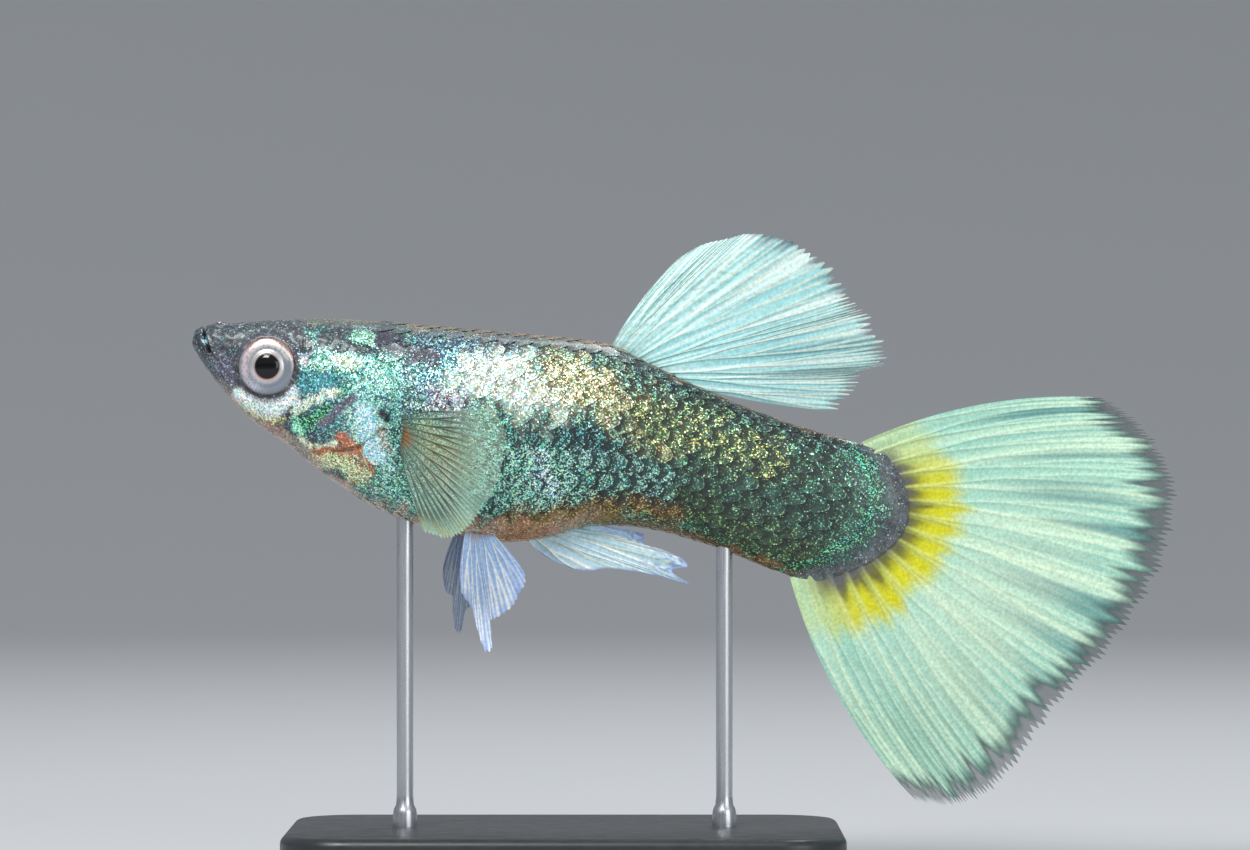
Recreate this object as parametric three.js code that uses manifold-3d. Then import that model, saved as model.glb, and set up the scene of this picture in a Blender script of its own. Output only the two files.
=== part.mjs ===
// A male fancy guppy at life size, held on a plain display stand as a museum would show it.
// The fish has its own frame: x runs aft from the tip of the snout along the body's axis, y runs across it with
// the fish's left side negative, and z runs up. The group "fish" then pitches that frame head up, as it swims.
import * as THREE from "three";
import { mergeVertices } from "three/addons/utils/BufferGeometryUtils.js";
import Module from "manifold-3d";

const wasm = await Module();
wasm.setup();

// Driving dimensions, in millimetres
const PITCH = THREE.MathUtils.degToRad(14.5); // head up
const GAP = 0.3; // between neighbouring pieces
const MEMBRANE = 0.5; // a fin's thickness between its rays, at its root
const TIP_SHARE = 0.5; // of that thickness, left at a fin's outer edge
const RAY_RISE = 0.16; // how far a ray stands out of each face of the membrane

// The body's outline from the side, as [x, z], and its half width, as [x, y]
const BACK = [
  [0, 0], [0.1, 0.42], [0.5, 0.68], [1.5, 1.08], [3.2, 1.68], [6.7, 2.61], [10.2, 3.2],
  [13.8, 3.8], [18.2, 4.42], [19.8, 4.13], [23.2, 3.48], [27, 3], [30.8, 2.95],
];
const BELLY = [
  [0, 0], [0.17, -0.47], [0.6, -0.91], [1.3, -1.5], [3.5, -3], [5.5, -3.74], [7.6, -4.68], [10.6, -5.5],
  [13.4, -5.68], [16.5, -5.28], [19.5, -3.78], [21.9, -3.25], [25, -3.27], [29.2, -3.8],
];
const HALF_WIDTH = [
  [0, 0], [0.12, 0.68], [0.5, 1.1], [1.5, 1.55], [3.7, 2.1], [7, 2.58], [11, 2.75],
  [16, 2.5], [21, 1.9], [26, 1.4], [29, 0.95], [30.8, 0.32],
];
// Where across the depth the body is widest, from 0 at the back to 1 at the belly
const WIDEST = [[0, 0.46], [3, 0.44], [11, 0.4], [20, 0.45], [30.8, 0.5]];
// How square the section is: 1 is round and less is boxier
const SQUARENESS = [[0, 0.62], [3, 0.74], [9, 0.95], [30.8, 0.95]];
const STALK_END = 30.8; // where the tail stalk's back ends
const TAIL_LEAN = 1.6; // how far the stalk's lower corner lies ahead of its upper one
const TAIL_LEAN_FROM = 21; // where the sections start to lean
const TAIL_BULGE = 2.6; // how far the stalk's end bows aft between its corners
const TAIL_BULGE_FROM = 24;

// The head
const EYE = { x: 3.75, z: -0.42, y: 1.62, radius: 1.28, depth: 1.0 };
const PUPIL = { radius: 0.6, rise: 0.1 };
const JAW_LINE = [[0.42, 1.6], [0.5, 0.62], [1.02, -0.42], [2.9, -1.85], [3.7, -4.2]];
const LIP = { rise: 0.09, width: 0.22 };
const NOSTRIL = { x: 1.12, y: 0.62, radius: 0.26, bore: 0.12, rise: 0.16 };
const GILL_COVER = { x: 7.15, z: -0.9, radius: 2.4, thickness: 0.5, rise: 0.08 };
const HEAD_REAR = { x: 5.6, z: -0.9, radius: 4.15 }; // the arc where the head meets the trunk
const STALK_CUT = 22.6; // where the trunk meets the tail stalk

// The fins: each outline is the tips of its rays in turn, as [x, z], the first being the leading or upper one
const DORSAL = {
  root: [18.3, 21.3], rays: 9, branches: 3, rows: 8, lean: 0.5, wave: 0.5, bend: 0.25,
  tips: [
    [20.5, 9.3], [21.9, 10], [23.2, 10.8], [24.9, 11.1], [26.7, 10.9], [28.5, 9.8],
    [30.1, 8.7], [31.1, 7.5], [31, 6.6], [30.2, 5.7], [29.8, 4.8], [29.2, 4],
  ],
};
const CAUDAL = {
  rays: 16, branches: 3, rows: 9, lean: 0, wave: 0.7, bend: 0.75,
  tips: [
    [40.8, 7.7], [42.8, 6.8], [44.7, 4.7], [45, 1.3], [43.9, -2.7], [42.1, -6.4],
    [40.5, -10.4], [39, -11.9], [37, -12.2],
  ],
};
const ANAL = {
  root: [16.7, 18.3], rays: 8, branches: 2, rows: 9, lean: 0, wave: 0.2, bend: -0.15,
  tips: [
    [19.7, -5.9], [20.9, -5.6], [22.6, -5.3], [24.6, -5.2], [23.6, -4.8], [24.3, -4.4],
    [23.5, -4.1], [22.4, -3.9], [21.8, -3.6],
  ],
};
const PECTORAL = {
  root: [[9.95, -1.1], [10.45, -2.45]], rays: 12, branches: 2, rows: 6, splay: 24, wave: 0.25, bend: 0.1,
  tips: [
    [14.1, 0.3], [14.9, -0.6], [15.1, -1.7], [15.1, -2.9], [14.8, -4.1], [14.3, -5.2],
    [13.6, -5.8], [12.5, -5.8],
  ],
};
const PELVIC_LEFT = {
  root: [[14.15, -5.6], [15, -5.45]], rays: 7, branches: 2, rows: 8, splay: 16, wave: 0.12, bend: -0.1,
  tips: [
    [14.2, -7.9], [14.9, -8.5], [16.1, -10.4], [16.6, -10.2], [16.6, -9.1], [17.1, -8.3], [17.4, -7.4], [17.3, -6.6],
  ],
};
const PELVIC_RIGHT = {
  root: [[13.75, -5.65], [14.35, -5.6]], rays: 7, branches: 2, rows: 8, splay: 26, wave: 0.12, bend: -0.1,
  tips: [
    [13.5, -7.9], [13.9, -8.7], [14.6, -10.1], [15, -9.9], [15.2, -9.2], [15.4, -8.5], [15.6, -7.8], [15.6, -7.1],
  ],
};
const PELVIC_Y = 0.62; // from the midline to the root of each pelvic fin

// The stand: the rods carry the body at two places given along the fish, clear of every fin
const ROD_RADIUS = 0.55;
const ROD_FRONT_X = 11.35;
const ROD_REAR_X = 25.6;
const BASE = { length: 25, width: 16, thickness: 2.4, corner: 3, chamfer: 0.3 };
const TAIL_CLEARANCE = 0.7; // from the base's top up to the lowest fin tip

// Mesh fineness
const SIDES = 24; // points round the body
const STATIONS = 44; // rings along it
const ARC = 28; // sides to a full circle in the cuts

// A curve through [x, value] pairs. It is smooth in the root of x, so that the snout comes out round.
function smooth(pairs, root = true) {
  const along = (x) => (root ? Math.sqrt(Math.max(x, 0)) : x);
  const q = pairs.map((p) => along(p[0]));
  const v = pairs.map((p) => p[1]);
  const slope = q.map((_, i) => {
    const a = Math.max(i - 1, 0);
    const b = Math.min(i + 1, q.length - 1);
    return (v[b] - v[a]) / (q[b] - q[a]);
  });
  return (x) => {
    const at = THREE.MathUtils.clamp(along(x), q[0], q[q.length - 1]);
    let i = 0;
    while (i < q.length - 2 && at > q[i + 1]) i++;
    const h = q[i + 1] - q[i];
    const t = (at - q[i]) / h;
    const t2 = t * t;
    const t3 = t2 * t;
    return (
      (2 * t3 - 3 * t2 + 1) * v[i] + (t3 - 2 * t2 + t) * h * slope[i] +
      (3 * t2 - 2 * t3) * v[i + 1] + (t3 - t2) * h * slope[i + 1]
    );
  };
}

const backAt = smooth(BACK);
const bellyAt = smooth(BELLY);
const halfWidthAt = smooth(HALF_WIDTH);
const widestAt = smooth(WIDEST, false);
const squarenessAt = smooth(SQUARENESS, false);

// A point of the body's skin. s is the station and angle goes round from the back, positive on the fish's right.
// inset moves the skin inwards, or outwards where it is negative.
function skin(s, angle, inset = 0) {
  const lean = TAIL_LEAN * THREE.MathUtils.smoothstep(s, TAIL_LEAN_FROM, STALK_END);
  const bulge = TAIL_BULGE * THREE.MathUtils.smoothstep(s, TAIL_BULGE_FROM, STALK_END);
  const bellyX = s - lean;
  const top = new THREE.Vector2(s, backAt(s) - inset);
  const bottom = new THREE.Vector2(bellyX, bellyAt(bellyX) + inset);
  const down = (1 - Math.cos(angle)) / 2;
  const power = Math.log(0.5) / Math.log(widestAt(s));
  const level = down ** power;
  const round = (4 * level * (1 - level)) ** (squarenessAt(s) / 2);
  const lip = LIP.rise * Math.exp(-(((s - 0.95) / LIP.width) ** 2)) * Math.cos(angle / 2) ** 2;
  const half = Math.max(halfWidthAt(s) - inset + lip, 0);
  return new THREE.Vector3(
    top.x + (bottom.x - top.x) * down + bulge * 4 * down * (1 - down),
    half * round * Math.sign(Math.sin(angle)),
    top.y + (bottom.y - top.y) * down + lip * Math.cos(angle),
  );
}

// A closed geometry from rings of points, each ring joined to the next, with a fan or a strip over each end.
function loft(rings) {
  const n = rings[0].length;
  const position = rings.flat().flatMap((p) => [p.x, p.y, p.z]);
  const index = [];
  for (let i = 0; i + 1 < rings.length; i++)
    for (let j = 0; j < n; j++) {
      const a = i * n + j;
      const b = i * n + ((j + 1) % n);
      index.push(a, b, a + n, b, b + n, a + n);
    }
  // The ends are closed by a strip between the two sides, which follows a bowed end as a fan would not
  for (const [start, flip] of [[0, true], [(rings.length - 1) * n, false]])
    for (let j = 0; j < n / 2; j++) {
      const [a, b, c, d] = [j, j + 1, n - 1 - j, (n - j) % n].map((k) => start + k);
      index.push(...(flip ? [a, c, b, a, d, c] : [a, b, c, a, c, d]));
    }
  const geometry = new THREE.BufferGeometry();
  geometry.setAttribute("position", new THREE.Float32BufferAttribute(position, 3));
  geometry.setIndex(index);
  return geometry;
}

// A manifold-3d solid from a three.js geometry, with its faces pointing out, and the geometry back from a solid
function solidFrom(geometry) {
  const bare = geometry.clone();
  for (const name of Object.keys(bare.attributes)) if (name !== "position") bare.deleteAttribute(name);
  const merged = mergeVertices(bare, 1e-4);
  const clean = [];
  for (let i = 0; i < merged.index.count; i += 3) {
    const [a, b, c] = [0, 1, 2].map((k) => merged.index.array[i + k]);
    if (a !== b && b !== c && c !== a) clean.push(a, b, c);
  }
  const made = (triangles) =>
    new wasm.Manifold(
      new wasm.Mesh({
        numProp: 3,
        vertProperties: merged.attributes.position.array,
        triVerts: new Uint32Array(triangles),
      }),
    );
  const solid = made(clean);
  return solid.volume() > 0 ? solid : made(clean.reverse());
}

function geometryFrom(solid) {
  const mesh = solid.getMesh();
  const geometry = new THREE.BufferGeometry();
  geometry.setAttribute("position", new THREE.Float32BufferAttribute(mesh.vertProperties, 3));
  geometry.setIndex(new THREE.Uint32BufferAttribute(mesh.triVerts, 1));
  geometry.computeVertexNormals();
  return geometry;
}

const largest = (solid) => solid.decompose().reduce((a, b) => (a.volume() > b.volume() ? a : b));

// The piece of a cut solid that reaches furthest along an axis, among those worth keeping
const SCRAP = 0.2; // cubic millimetres
const furthest = (solid, axis, sign) => {
  const pieces = solid.decompose().filter((p) => p.volume() > SCRAP);
  const reach = (p) => sign * p.boundingBox()[sign > 0 ? "max" : "min"][axis];
  return pieces.reduce((a, b) => (reach(a) > reach(b) ? a : b));
};

// The body from one station to another, with its rings closer together near the snout
function body(inset = 0) {
  const rings = [];
  for (let i = 0; i <= STATIONS; i++) {
    const s = 0.02 + inset + (STALK_END - 0.02 - inset) * (i / STATIONS) ** 1.35;
    const ring = [];
    for (let j = 0; j < SIDES; j++) ring.push(skin(s, (2 * Math.PI * j) / SIDES, inset));
    rings.push(ring);
  }
  return solidFrom(loft(rings));
}

// A flat outline in the x-z plane, drawn through the whole width of the fish
const REACH = 6;
function through(shape, from = -REACH, to = REACH) {
  const geometry = new THREE.ExtrudeGeometry(shape, { depth: to - from, bevelEnabled: false, curveSegments: ARC });
  geometry.rotateX(Math.PI / 2);
  geometry.translate(0, to, 0);
  return solidFrom(geometry);
}

// A slab of the gap's thickness along a line of [x, z] points
function cutAlong(line) {
  const side = (sign) =>
    line.map(([x, z], i) => {
      const a = line[Math.max(i - 1, 0)];
      const b = line[Math.min(i + 1, line.length - 1)];
      const run = new THREE.Vector2(b[0] - a[0], b[1] - a[1]).normalize();
      return new THREE.Vector2(x - (sign * run.y * GAP) / 2, z + (sign * run.x * GAP) / 2);
    });
  return through(new THREE.Shape([...side(1), ...side(-1).reverse()]));
}

function disc({ x, z, radius }, grow = 0) {
  const shape = new THREE.Shape();
  shape.absarc(x, z, radius + grow, 0, 2 * Math.PI);
  return shape;
}

// A ball stretched to an eye: round from the side and shallower across
function eyeBall(side, grow = 0) {
  const ball = new THREE.SphereGeometry(1, 20, 12);
  ball.scale(EYE.radius + grow, EYE.depth + grow, EYE.radius + grow);
  ball.translate(EYE.x, side * EYE.y, EYE.z);
  return solidFrom(ball);
}

// The eyeball with the lens standing a little out of the pupil
function eye(side) {
  const lens = new THREE.SphereGeometry(PUPIL.radius, 12, 8);
  lens.scale(1, 0.5, 1);
  lens.translate(EYE.x, side * (EYE.y + EYE.depth + PUPIL.rise - PUPIL.radius * 0.5), EYE.z);
  return eyeBall(side).add(solidFrom(lens));
}

// A short open tube round the nostril, rooted in the skin
function nostrils(solid) {
  let made = solid;
  for (const side of [-1, 1]) {
    const seat = backAt(NOSTRIL.x) - 0.12;
    const profile = [
      [NOSTRIL.bore, -0.3], [NOSTRIL.radius, -0.3], [NOSTRIL.radius * 0.8, NOSTRIL.rise], [NOSTRIL.bore, NOSTRIL.rise],
      [NOSTRIL.bore, -0.3],
    ].map(([r, h]) => new THREE.Vector2(r, h));
    const collar = new THREE.LatheGeometry(profile, 10);
    const pit = new THREE.CylinderGeometry(NOSTRIL.bore, NOSTRIL.bore, 0.5, 10);
    for (const piece of [collar, pit]) {
      piece.rotateX(Math.PI / 2);
      piece.rotateX(-side * 0.35);
      piece.translate(NOSTRIL.x, side * NOSTRIL.y, seat);
    }
    made = made.add(solidFrom(collar)).subtract(solidFrom(pit));
  }
  return made;
}

// The head, lower jaw and gill covers, the trunk and the tail stalk, all cut from one body
function fleshNodes() {
  const whole = body();
  const rear = new THREE.Shape();
  rear.absarc(HEAD_REAR.x, HEAD_REAR.z, HEAD_REAR.radius + GAP, -1.9, 1.9);
  rear.absarc(HEAD_REAR.x, HEAD_REAR.z, HEAD_REAR.radius, 1.9, -1.9, true);
  const stalkCut = cutAlong([[STALK_CUT, 9], [STALK_CUT, -9]]);
  const parted = whole.subtract(through(rear)).subtract(stalkCut);
  const stalk = furthest(parted, 0, 1);
  const front = furthest(parted, 0, -1);
  const trunk = largest(parted.subtract(stalk).subtract(front));

  const pocket = through(disc(GILL_COVER, GAP)).subtract(body(GILL_COVER.thickness + GAP));
  const sockets = eyeBall(-1, GAP).add(eyeBall(1, GAP));
  const faced = nostrils(front.subtract(pocket).subtract(sockets)).subtract(cutAlong(JAW_LINE));
  const head = largest(faced);
  const jaw = furthest(faced, 0, -1);
  const plates = through(disc(GILL_COVER))
    .intersect(body(-GILL_COVER.rise))
    .subtract(body(GILL_COVER.thickness))
    .subtract(sockets);
  return {
    head,
    lower_jaw: jaw,
    gill_cover_left: furthest(plates, 1, -1),
    gill_cover_right: furthest(plates, 1, 1),
    trunk,
    tail_stalk: stalk,
  };
}

// A point along a list of [x, z] points, at share v of it, on a smooth curve
function alongPoints(points) {
  const curve = new THREE.CatmullRomCurve3(points.map(([x, z]) => new THREE.Vector3(x, 0, z)));
  return (v) => curve.getPoint(v);
}

// How far a ray stands out at share v across a fin of so many rays. Past the fork each ray is two.
const FORK = 0.45;
function rayRise(fin, u, v) {
  const across = v * (fin.rays - 1);
  const one = 0.5 + 0.5 * Math.cos(2 * Math.PI * across);
  const two = 0.5 - 0.5 * Math.cos(4 * Math.PI * (across + 0.125));
  const forked = THREE.MathUtils.smoothstep(u, FORK - 0.15, FORK + 0.15);
  return RAY_RISE * (one * (1 - forked) + (fin.branches > 2 ? two : one) * forked) * (1 - 0.5 * u);
}

// A fin as one closed sheet. middle(u, v) is its mid surface, u from root to tip and v across the rays. Both faces
// are the middle moved along its normal, and are split into triangles alike.
function finSheet(fin, middle) {
  const columns = (fin.rays - 1) * fin.branches;
  const rows = fin.rows;
  const step = 1e-3;
  const faces = [[], []];
  for (let i = 0; i <= rows; i++)
    for (let j = 0; j <= columns; j++) {
      const [u, v] = [i / rows, j / columns];
      const along = middle(Math.min(u + step, 1), v).sub(middle(Math.max(u - step, 0), v));
      const across = middle(u, Math.min(v + step, 1)).sub(middle(u, Math.max(v - step, 0)));
      const normal = along.cross(across).normalize();
      const half = (MEMBRANE / 2) * (1 - (1 - TIP_SHARE) * u ** 2) + rayRise(fin, u, v);
      faces[0].push(middle(u, v).addScaledVector(normal, half));
      faces[1].push(middle(u, v).addScaledVector(normal, -half));
    }
  const count = faces[0].length;
  const index = [];
  const at = (i, j) => i * (columns + 1) + j;
  const quad = (a, b, c, d) => index.push(a, b, c, a, c, d);
  for (let i = 0; i < rows; i++)
    for (let j = 0; j < columns; j++) {
      const [a, b, c, d] = [at(i, j), at(i + 1, j), at(i + 1, j + 1), at(i, j + 1)];
      index.push(a, b, c, a, c, d);
      index.push(a + count, c + count, b + count, a + count, d + count, c + count);
    }
  for (let j = 0; j < columns; j++) {
    quad(at(0, j) + count, at(0, j), at(0, j + 1), at(0, j + 1) + count);
    quad(at(rows, j), at(rows, j) + count, at(rows, j + 1) + count, at(rows, j + 1));
  }
  for (let i = 0; i < rows; i++) {
    quad(at(i, 0), at(i, 0) + count, at(i + 1, 0) + count, at(i + 1, 0));
    quad(at(i, columns) + count, at(i, columns), at(i + 1, columns), at(i + 1, columns) + count);
  }
  const geometry = new THREE.BufferGeometry();
  geometry.setAttribute("position", new THREE.Float32BufferAttribute([...faces[0], ...faces[1]].flatMap((p) => [p.x, p.y, p.z]), 3));
  geometry.setIndex(index);
  return solidFrom(geometry);
}

// The mid surface of a fin whose rays run from root(v) to tip(v). The outer rays bow away from the fin's middle,
// and the whole fin waves to the side by depth(u, v).
function fan(fin, root, depth) {
  const tip = alongPoints(fin.tips);
  return (u, v) => {
    const from = root(v);
    const to = tip(v);
    const chord = to.clone().sub(from);
    const upward = new THREE.Vector3(-chord.z, 0, chord.x).normalize();
    const bow = fin.bend * 4 * u * (1 - u) * (1 - 2 * v);
    const point = from.clone().lerp(to, u).addScaledVector(upward, bow);
    point.y = from.y + depth(u, v);
    return point;
  };
}

// The fins of the midline, which stand on the back, the belly and the end of the tail stalk
function medianFin(fin, root) {
  const depth = (u, v) => fin.lean * u ** 2 + fin.wave * u ** 1.5 * Math.sin(Math.PI * (2.2 * v + 0.6 * u));
  return finSheet(fin, fan(fin, root, depth));
}

const onBack = (fin) => (v) => {
  const x = fin.root[0] + (fin.root[1] - fin.root[0]) * v;
  return new THREE.Vector3(x, 0, backAt(x) + GAP);
};
const onBelly = (fin) => (v) => {
  const x = fin.root[0] + (fin.root[1] - fin.root[0]) * v;
  return new THREE.Vector3(x, 0, bellyAt(x) - GAP);
};
// Round the bowed end of the tail stalk, the gap away from it
const onStalkEnd = (v) => {
  const near = 0.03;
  const place = (t) => skin(STALK_END, Math.acos(THREE.MathUtils.clamp(1 - 2 * t, -1, 1)));
  const point = place(v).setY(0);
  const run = place(Math.min(v + near, 1)).sub(place(Math.max(v - near, 0))).setY(0).normalize();
  return point.add(new THREE.Vector3(-run.z, 0, run.x).multiplyScalar(GAP));
};

// The paired fins, which grow out of the side or the belly and splay away from the midline
function pairedFin(fin, side, rootY) {
  const splay = Math.tan(THREE.MathUtils.degToRad(fin.splay));
  const [first, last] = fin.root.map(([x, z]) => new THREE.Vector3(x, side * rootY, z));
  const root = (v) => first.clone().lerp(last, v);
  const tip = alongPoints(fin.tips);
  const depth = (u, v) => {
    const reach = root(v).setY(0).distanceTo(tip(v)) * u;
    return side * (splay * reach + fin.wave * u * Math.sin(Math.PI * (1.5 * v + 0.3)));
  };
  return finSheet(fin, fan(fin, root, depth));
}

// Half the body's width at a point of its side, found by walking round the section there
function sideAt(x, z) {
  let best = skin(x, Math.PI / 2);
  for (let k = 1; k < 90; k++) {
    const point = skin(x, (Math.PI * k) / 90);
    if (Math.abs(point.z - z) < Math.abs(best.z - z)) best = point;
  }
  return best.y;
}

const flesh = fleshNodes();
const pectoralY = sideAt(PECTORAL.root[0][0], PECTORAL.root[0][1]) + GAP + MEMBRANE / 2 + 0.1;
const fins = {
  dorsal_fin: medianFin(DORSAL, onBack(DORSAL)),
  caudal_fin: medianFin(CAUDAL, onStalkEnd),
  anal_fin: medianFin(ANAL, onBelly(ANAL)),
  pectoral_fin_left: pairedFin(PECTORAL, -1, pectoralY),
  pectoral_fin_right: pairedFin(PECTORAL, 1, pectoralY),
  pelvic_fin_left: pairedFin(PELVIC_LEFT, -1, PELVIC_Y),
  pelvic_fin_right: pairedFin(PELVIC_RIGHT, 1, PELVIC_Y),
};

// The fish's frame set head up, and where a point of it then lies
const pose = new THREE.Matrix4().makeRotationY(PITCH);
const posed = (x, z) => new THREE.Vector3(x, 0, z).applyMatrix4(pose);
const posedSolid = (solid) => {
  const geometry = geometryFrom(solid);
  geometry.applyMatrix4(pose);
  return solidFrom(geometry);
};

// The part's origin is under the middle of the base, so the fish is moved to stand over it
const lowestTip = posedSolid(fins.caudal_fin).boundingBox().min[2];
const rodFront = posed(ROD_FRONT_X, bellyAt(ROD_FRONT_X));
const rodRear = posed(ROD_REAR_X, bellyAt(ROD_REAR_X));
const baseTop = lowestTip - TAIL_CLEARANCE;
const centreX = (rodFront.x + rodRear.x) / 2;
const toOrigin = new THREE.Vector3(-centreX, 0, BASE.thickness - baseTop);

const fishMaterials = {
  skin: new THREE.MeshStandardMaterial({ color: 0x7f9c8e, roughness: 0.35, metalness: 0.35 }),
  eye: new THREE.MeshStandardMaterial({ color: 0xd8dcdd, roughness: 0.15, metalness: 0.3 }),
  fin: new THREE.MeshStandardMaterial({ color: 0xb9e8dc, roughness: 0.45, metalness: 0.05 }),
  paleFin: new THREE.MeshStandardMaterial({ color: 0xc6dcf2, roughness: 0.45, metalness: 0.05 }),
};
const fish = new THREE.Group();
fish.rotation.y = PITCH;
fish.position.copy(toOrigin);

function addTo(group, name, solid, material) {
  const mesh = new THREE.Mesh(geometryFrom(largest(solid)), material);
  mesh.name = name;
  group.add(mesh);
  return mesh;
}

for (const [name, solid] of Object.entries(flesh)) addTo(fish, name, solid, fishMaterials.skin);
addTo(fish, "eye_left", eye(-1), fishMaterials.eye);
addTo(fish, "eye_right", eye(1), fishMaterials.eye);
for (const [name, solid] of Object.entries(fins))
  addTo(fish, name, solid, name.startsWith("pelvic") || name.startsWith("anal") ? fishMaterials.paleFin : fishMaterials.fin);

// The stand: a flat base with rounded corners, and two rods whose tops are cut to the belly that they carry
const standMaterials = {
  base: new THREE.MeshStandardMaterial({ color: 0x2c2e31, roughness: 0.5, metalness: 0 }),
  rod: new THREE.MeshStandardMaterial({ color: 0xc9ccd0, roughness: 0.3, metalness: 1 }),
};

function baseGeometry() {
  const [x, y, r] = [BASE.length / 2 - BASE.chamfer, BASE.width / 2 - BASE.chamfer, BASE.corner];
  const shape = new THREE.Shape();
  shape.absarc(x - r, y - r, r, 0, Math.PI / 2);
  shape.absarc(-x + r, y - r, r, Math.PI / 2, Math.PI);
  shape.absarc(-x + r, -y + r, r, Math.PI, 1.5 * Math.PI);
  shape.absarc(x - r, -y + r, r, 1.5 * Math.PI, 2 * Math.PI);
  const geometry = new THREE.ExtrudeGeometry(shape, {
    depth: BASE.thickness - 2 * BASE.chamfer,
    bevelThickness: BASE.chamfer,
    bevelSize: BASE.chamfer,
    bevelSegments: 1,
    curveSegments: 6,
  });
  geometry.translate(0, 0, BASE.chamfer);
  return geometry;
}

// The body grown by the gap and set in place, which the tops of the rods are cut with
const grownBody = (() => {
  const geometry = geometryFrom(body(-GAP));
  geometry.applyMatrix4(pose);
  geometry.translate(...toOrigin);
  return solidFrom(geometry);
})();

function rod(foot) {
  const bottom = BASE.thickness + GAP;
  const top = foot.z + toOrigin.z + 1.2;
  const geometry = new THREE.CylinderGeometry(ROD_RADIUS, ROD_RADIUS, top - bottom, 20);
  geometry.rotateX(Math.PI / 2);
  geometry.translate(foot.x + toOrigin.x, 0, (top + bottom) / 2);
  return furthest(solidFrom(geometry).subtract(grownBody), 2, -1);
}

const stand = new THREE.Group();
addTo(stand, "stand_base", solidFrom(baseGeometry()), standMaterials.base);
addTo(stand, "stand_rod_front", rod(rodFront), standMaterials.rod);
addTo(stand, "stand_rod_rear", rod(rodRear), standMaterials.rod);

const part = new THREE.Group();
part.add(fish, stand);

export default part;
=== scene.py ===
# %% [markdown]
# # A fancy guppy, finished as a museum model
# The solids say where the fish is and how big it is. This file gives it its looks: one skin over the whole
# body, real scales on it, moist eyes, and fins with branching rays. Every shape here is a formula worked
# out on a grid of numbers, which is how a maker can keep a soft, living form exact and still change it with
# one value.

import bpy
import numpy as np
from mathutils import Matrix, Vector


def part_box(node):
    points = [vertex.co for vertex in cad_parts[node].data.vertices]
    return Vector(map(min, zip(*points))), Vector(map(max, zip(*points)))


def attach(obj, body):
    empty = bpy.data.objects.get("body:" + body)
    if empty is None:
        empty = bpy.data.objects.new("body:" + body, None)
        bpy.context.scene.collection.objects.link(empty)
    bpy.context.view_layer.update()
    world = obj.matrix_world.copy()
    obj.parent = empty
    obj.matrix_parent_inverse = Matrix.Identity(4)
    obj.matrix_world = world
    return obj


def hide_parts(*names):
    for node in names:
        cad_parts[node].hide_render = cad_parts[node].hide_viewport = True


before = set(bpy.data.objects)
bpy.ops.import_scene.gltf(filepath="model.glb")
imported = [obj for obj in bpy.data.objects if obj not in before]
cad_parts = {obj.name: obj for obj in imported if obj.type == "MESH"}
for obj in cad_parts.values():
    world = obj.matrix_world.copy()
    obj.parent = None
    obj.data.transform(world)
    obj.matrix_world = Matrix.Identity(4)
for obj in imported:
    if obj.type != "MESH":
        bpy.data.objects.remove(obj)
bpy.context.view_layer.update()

# %% [markdown]
# ## The fish's own frame
# A swimming fish tilts, but it is easier to draw one that lies level. So every shape is worked out in the
# fish's own frame, in millimetres: x runs back from the snout, z runs up and the left side has a negative
# y. One turn and one shift then carry it to the stand. The shift is read off the left eye, which the solids
# place exactly.

# %% From the fish's frame to the stand
MM = 0.001
PITCH = np.radians(14.5)
EYE = np.array([3.75, 1.62, -0.42])
EYE_RADIUS = 1.28


def turned(points):
    """Fish millimetres turned head up about the y axis: x' = x cos + z sin, z' = z cos - x sin."""
    x, y, z = np.moveaxis(points, -1, 0)
    return np.stack([x * np.cos(PITCH) + z * np.sin(PITCH), y, z * np.cos(PITCH) - x * np.sin(PITCH)], -1)


eye_box = np.array([list(corner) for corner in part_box("eye_left")]) / MM
SHIFT = (eye_box.mean(0) - turned(EYE)) * [1, 0, 1]


def placed(points):
    """Fish millimetres to metres on the stand."""
    return (turned(points) + SHIFT) * MM


print("the snout's tip is at", np.round(placed(np.zeros(3)), 4))

# %% [markdown]
# ## Small tools for numbers
# A few helpers carry the whole lesson. One draws a smooth curve through a handful of measured values, one
# eases a number from 0 to 1, and one makes soft random patches by adding sine waves, so that nothing looks
# ruled.

# %% Curves, easing and soft random values


def smooth(pairs, x, rooted=True):
    """A cubic through [x, value] pairs whose slope at each is that between its neighbours.

    With rooted, it runs in the square root of x, so a snout comes out round and not pointed.
    """
    pairs = np.asarray(pairs, float)
    q = np.sqrt(pairs[:, 0]) if rooted else pairs[:, 0]
    value = pairs[:, 1]
    at = np.clip(np.sqrt(np.maximum(x, 0)) if rooted else x, q[0], q[-1])
    slope = np.empty_like(value)
    slope[1:-1] = (value[2:] - value[:-2]) / (q[2:] - q[:-2])
    slope[0] = (value[1] - value[0]) / (q[1] - q[0])
    slope[-1] = (value[-1] - value[-2]) / (q[-1] - q[-2])
    i = np.clip(np.searchsorted(q, at) - 1, 0, len(q) - 2)
    span = q[i + 1] - q[i]
    t = (at - q[i]) / span
    return (
        (2 * t**3 - 3 * t**2 + 1) * value[i]
        + (t**3 - 2 * t**2 + t) * span * slope[i]
        + (3 * t**2 - 2 * t**3) * value[i + 1]
        + (t**3 - t**2) * span * slope[i + 1]
    )


def ease(x, low, high):
    """0 below low, 1 above high, and 3t^2 - 2t^3 between."""
    t = np.clip((x - low) / (high - low), 0, 1)
    return t * t * (3 - 2 * t)


def bump(x, width):
    """A bell: e to the minus (x / width) squared."""
    return np.exp(-((x / width) ** 2))


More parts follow.
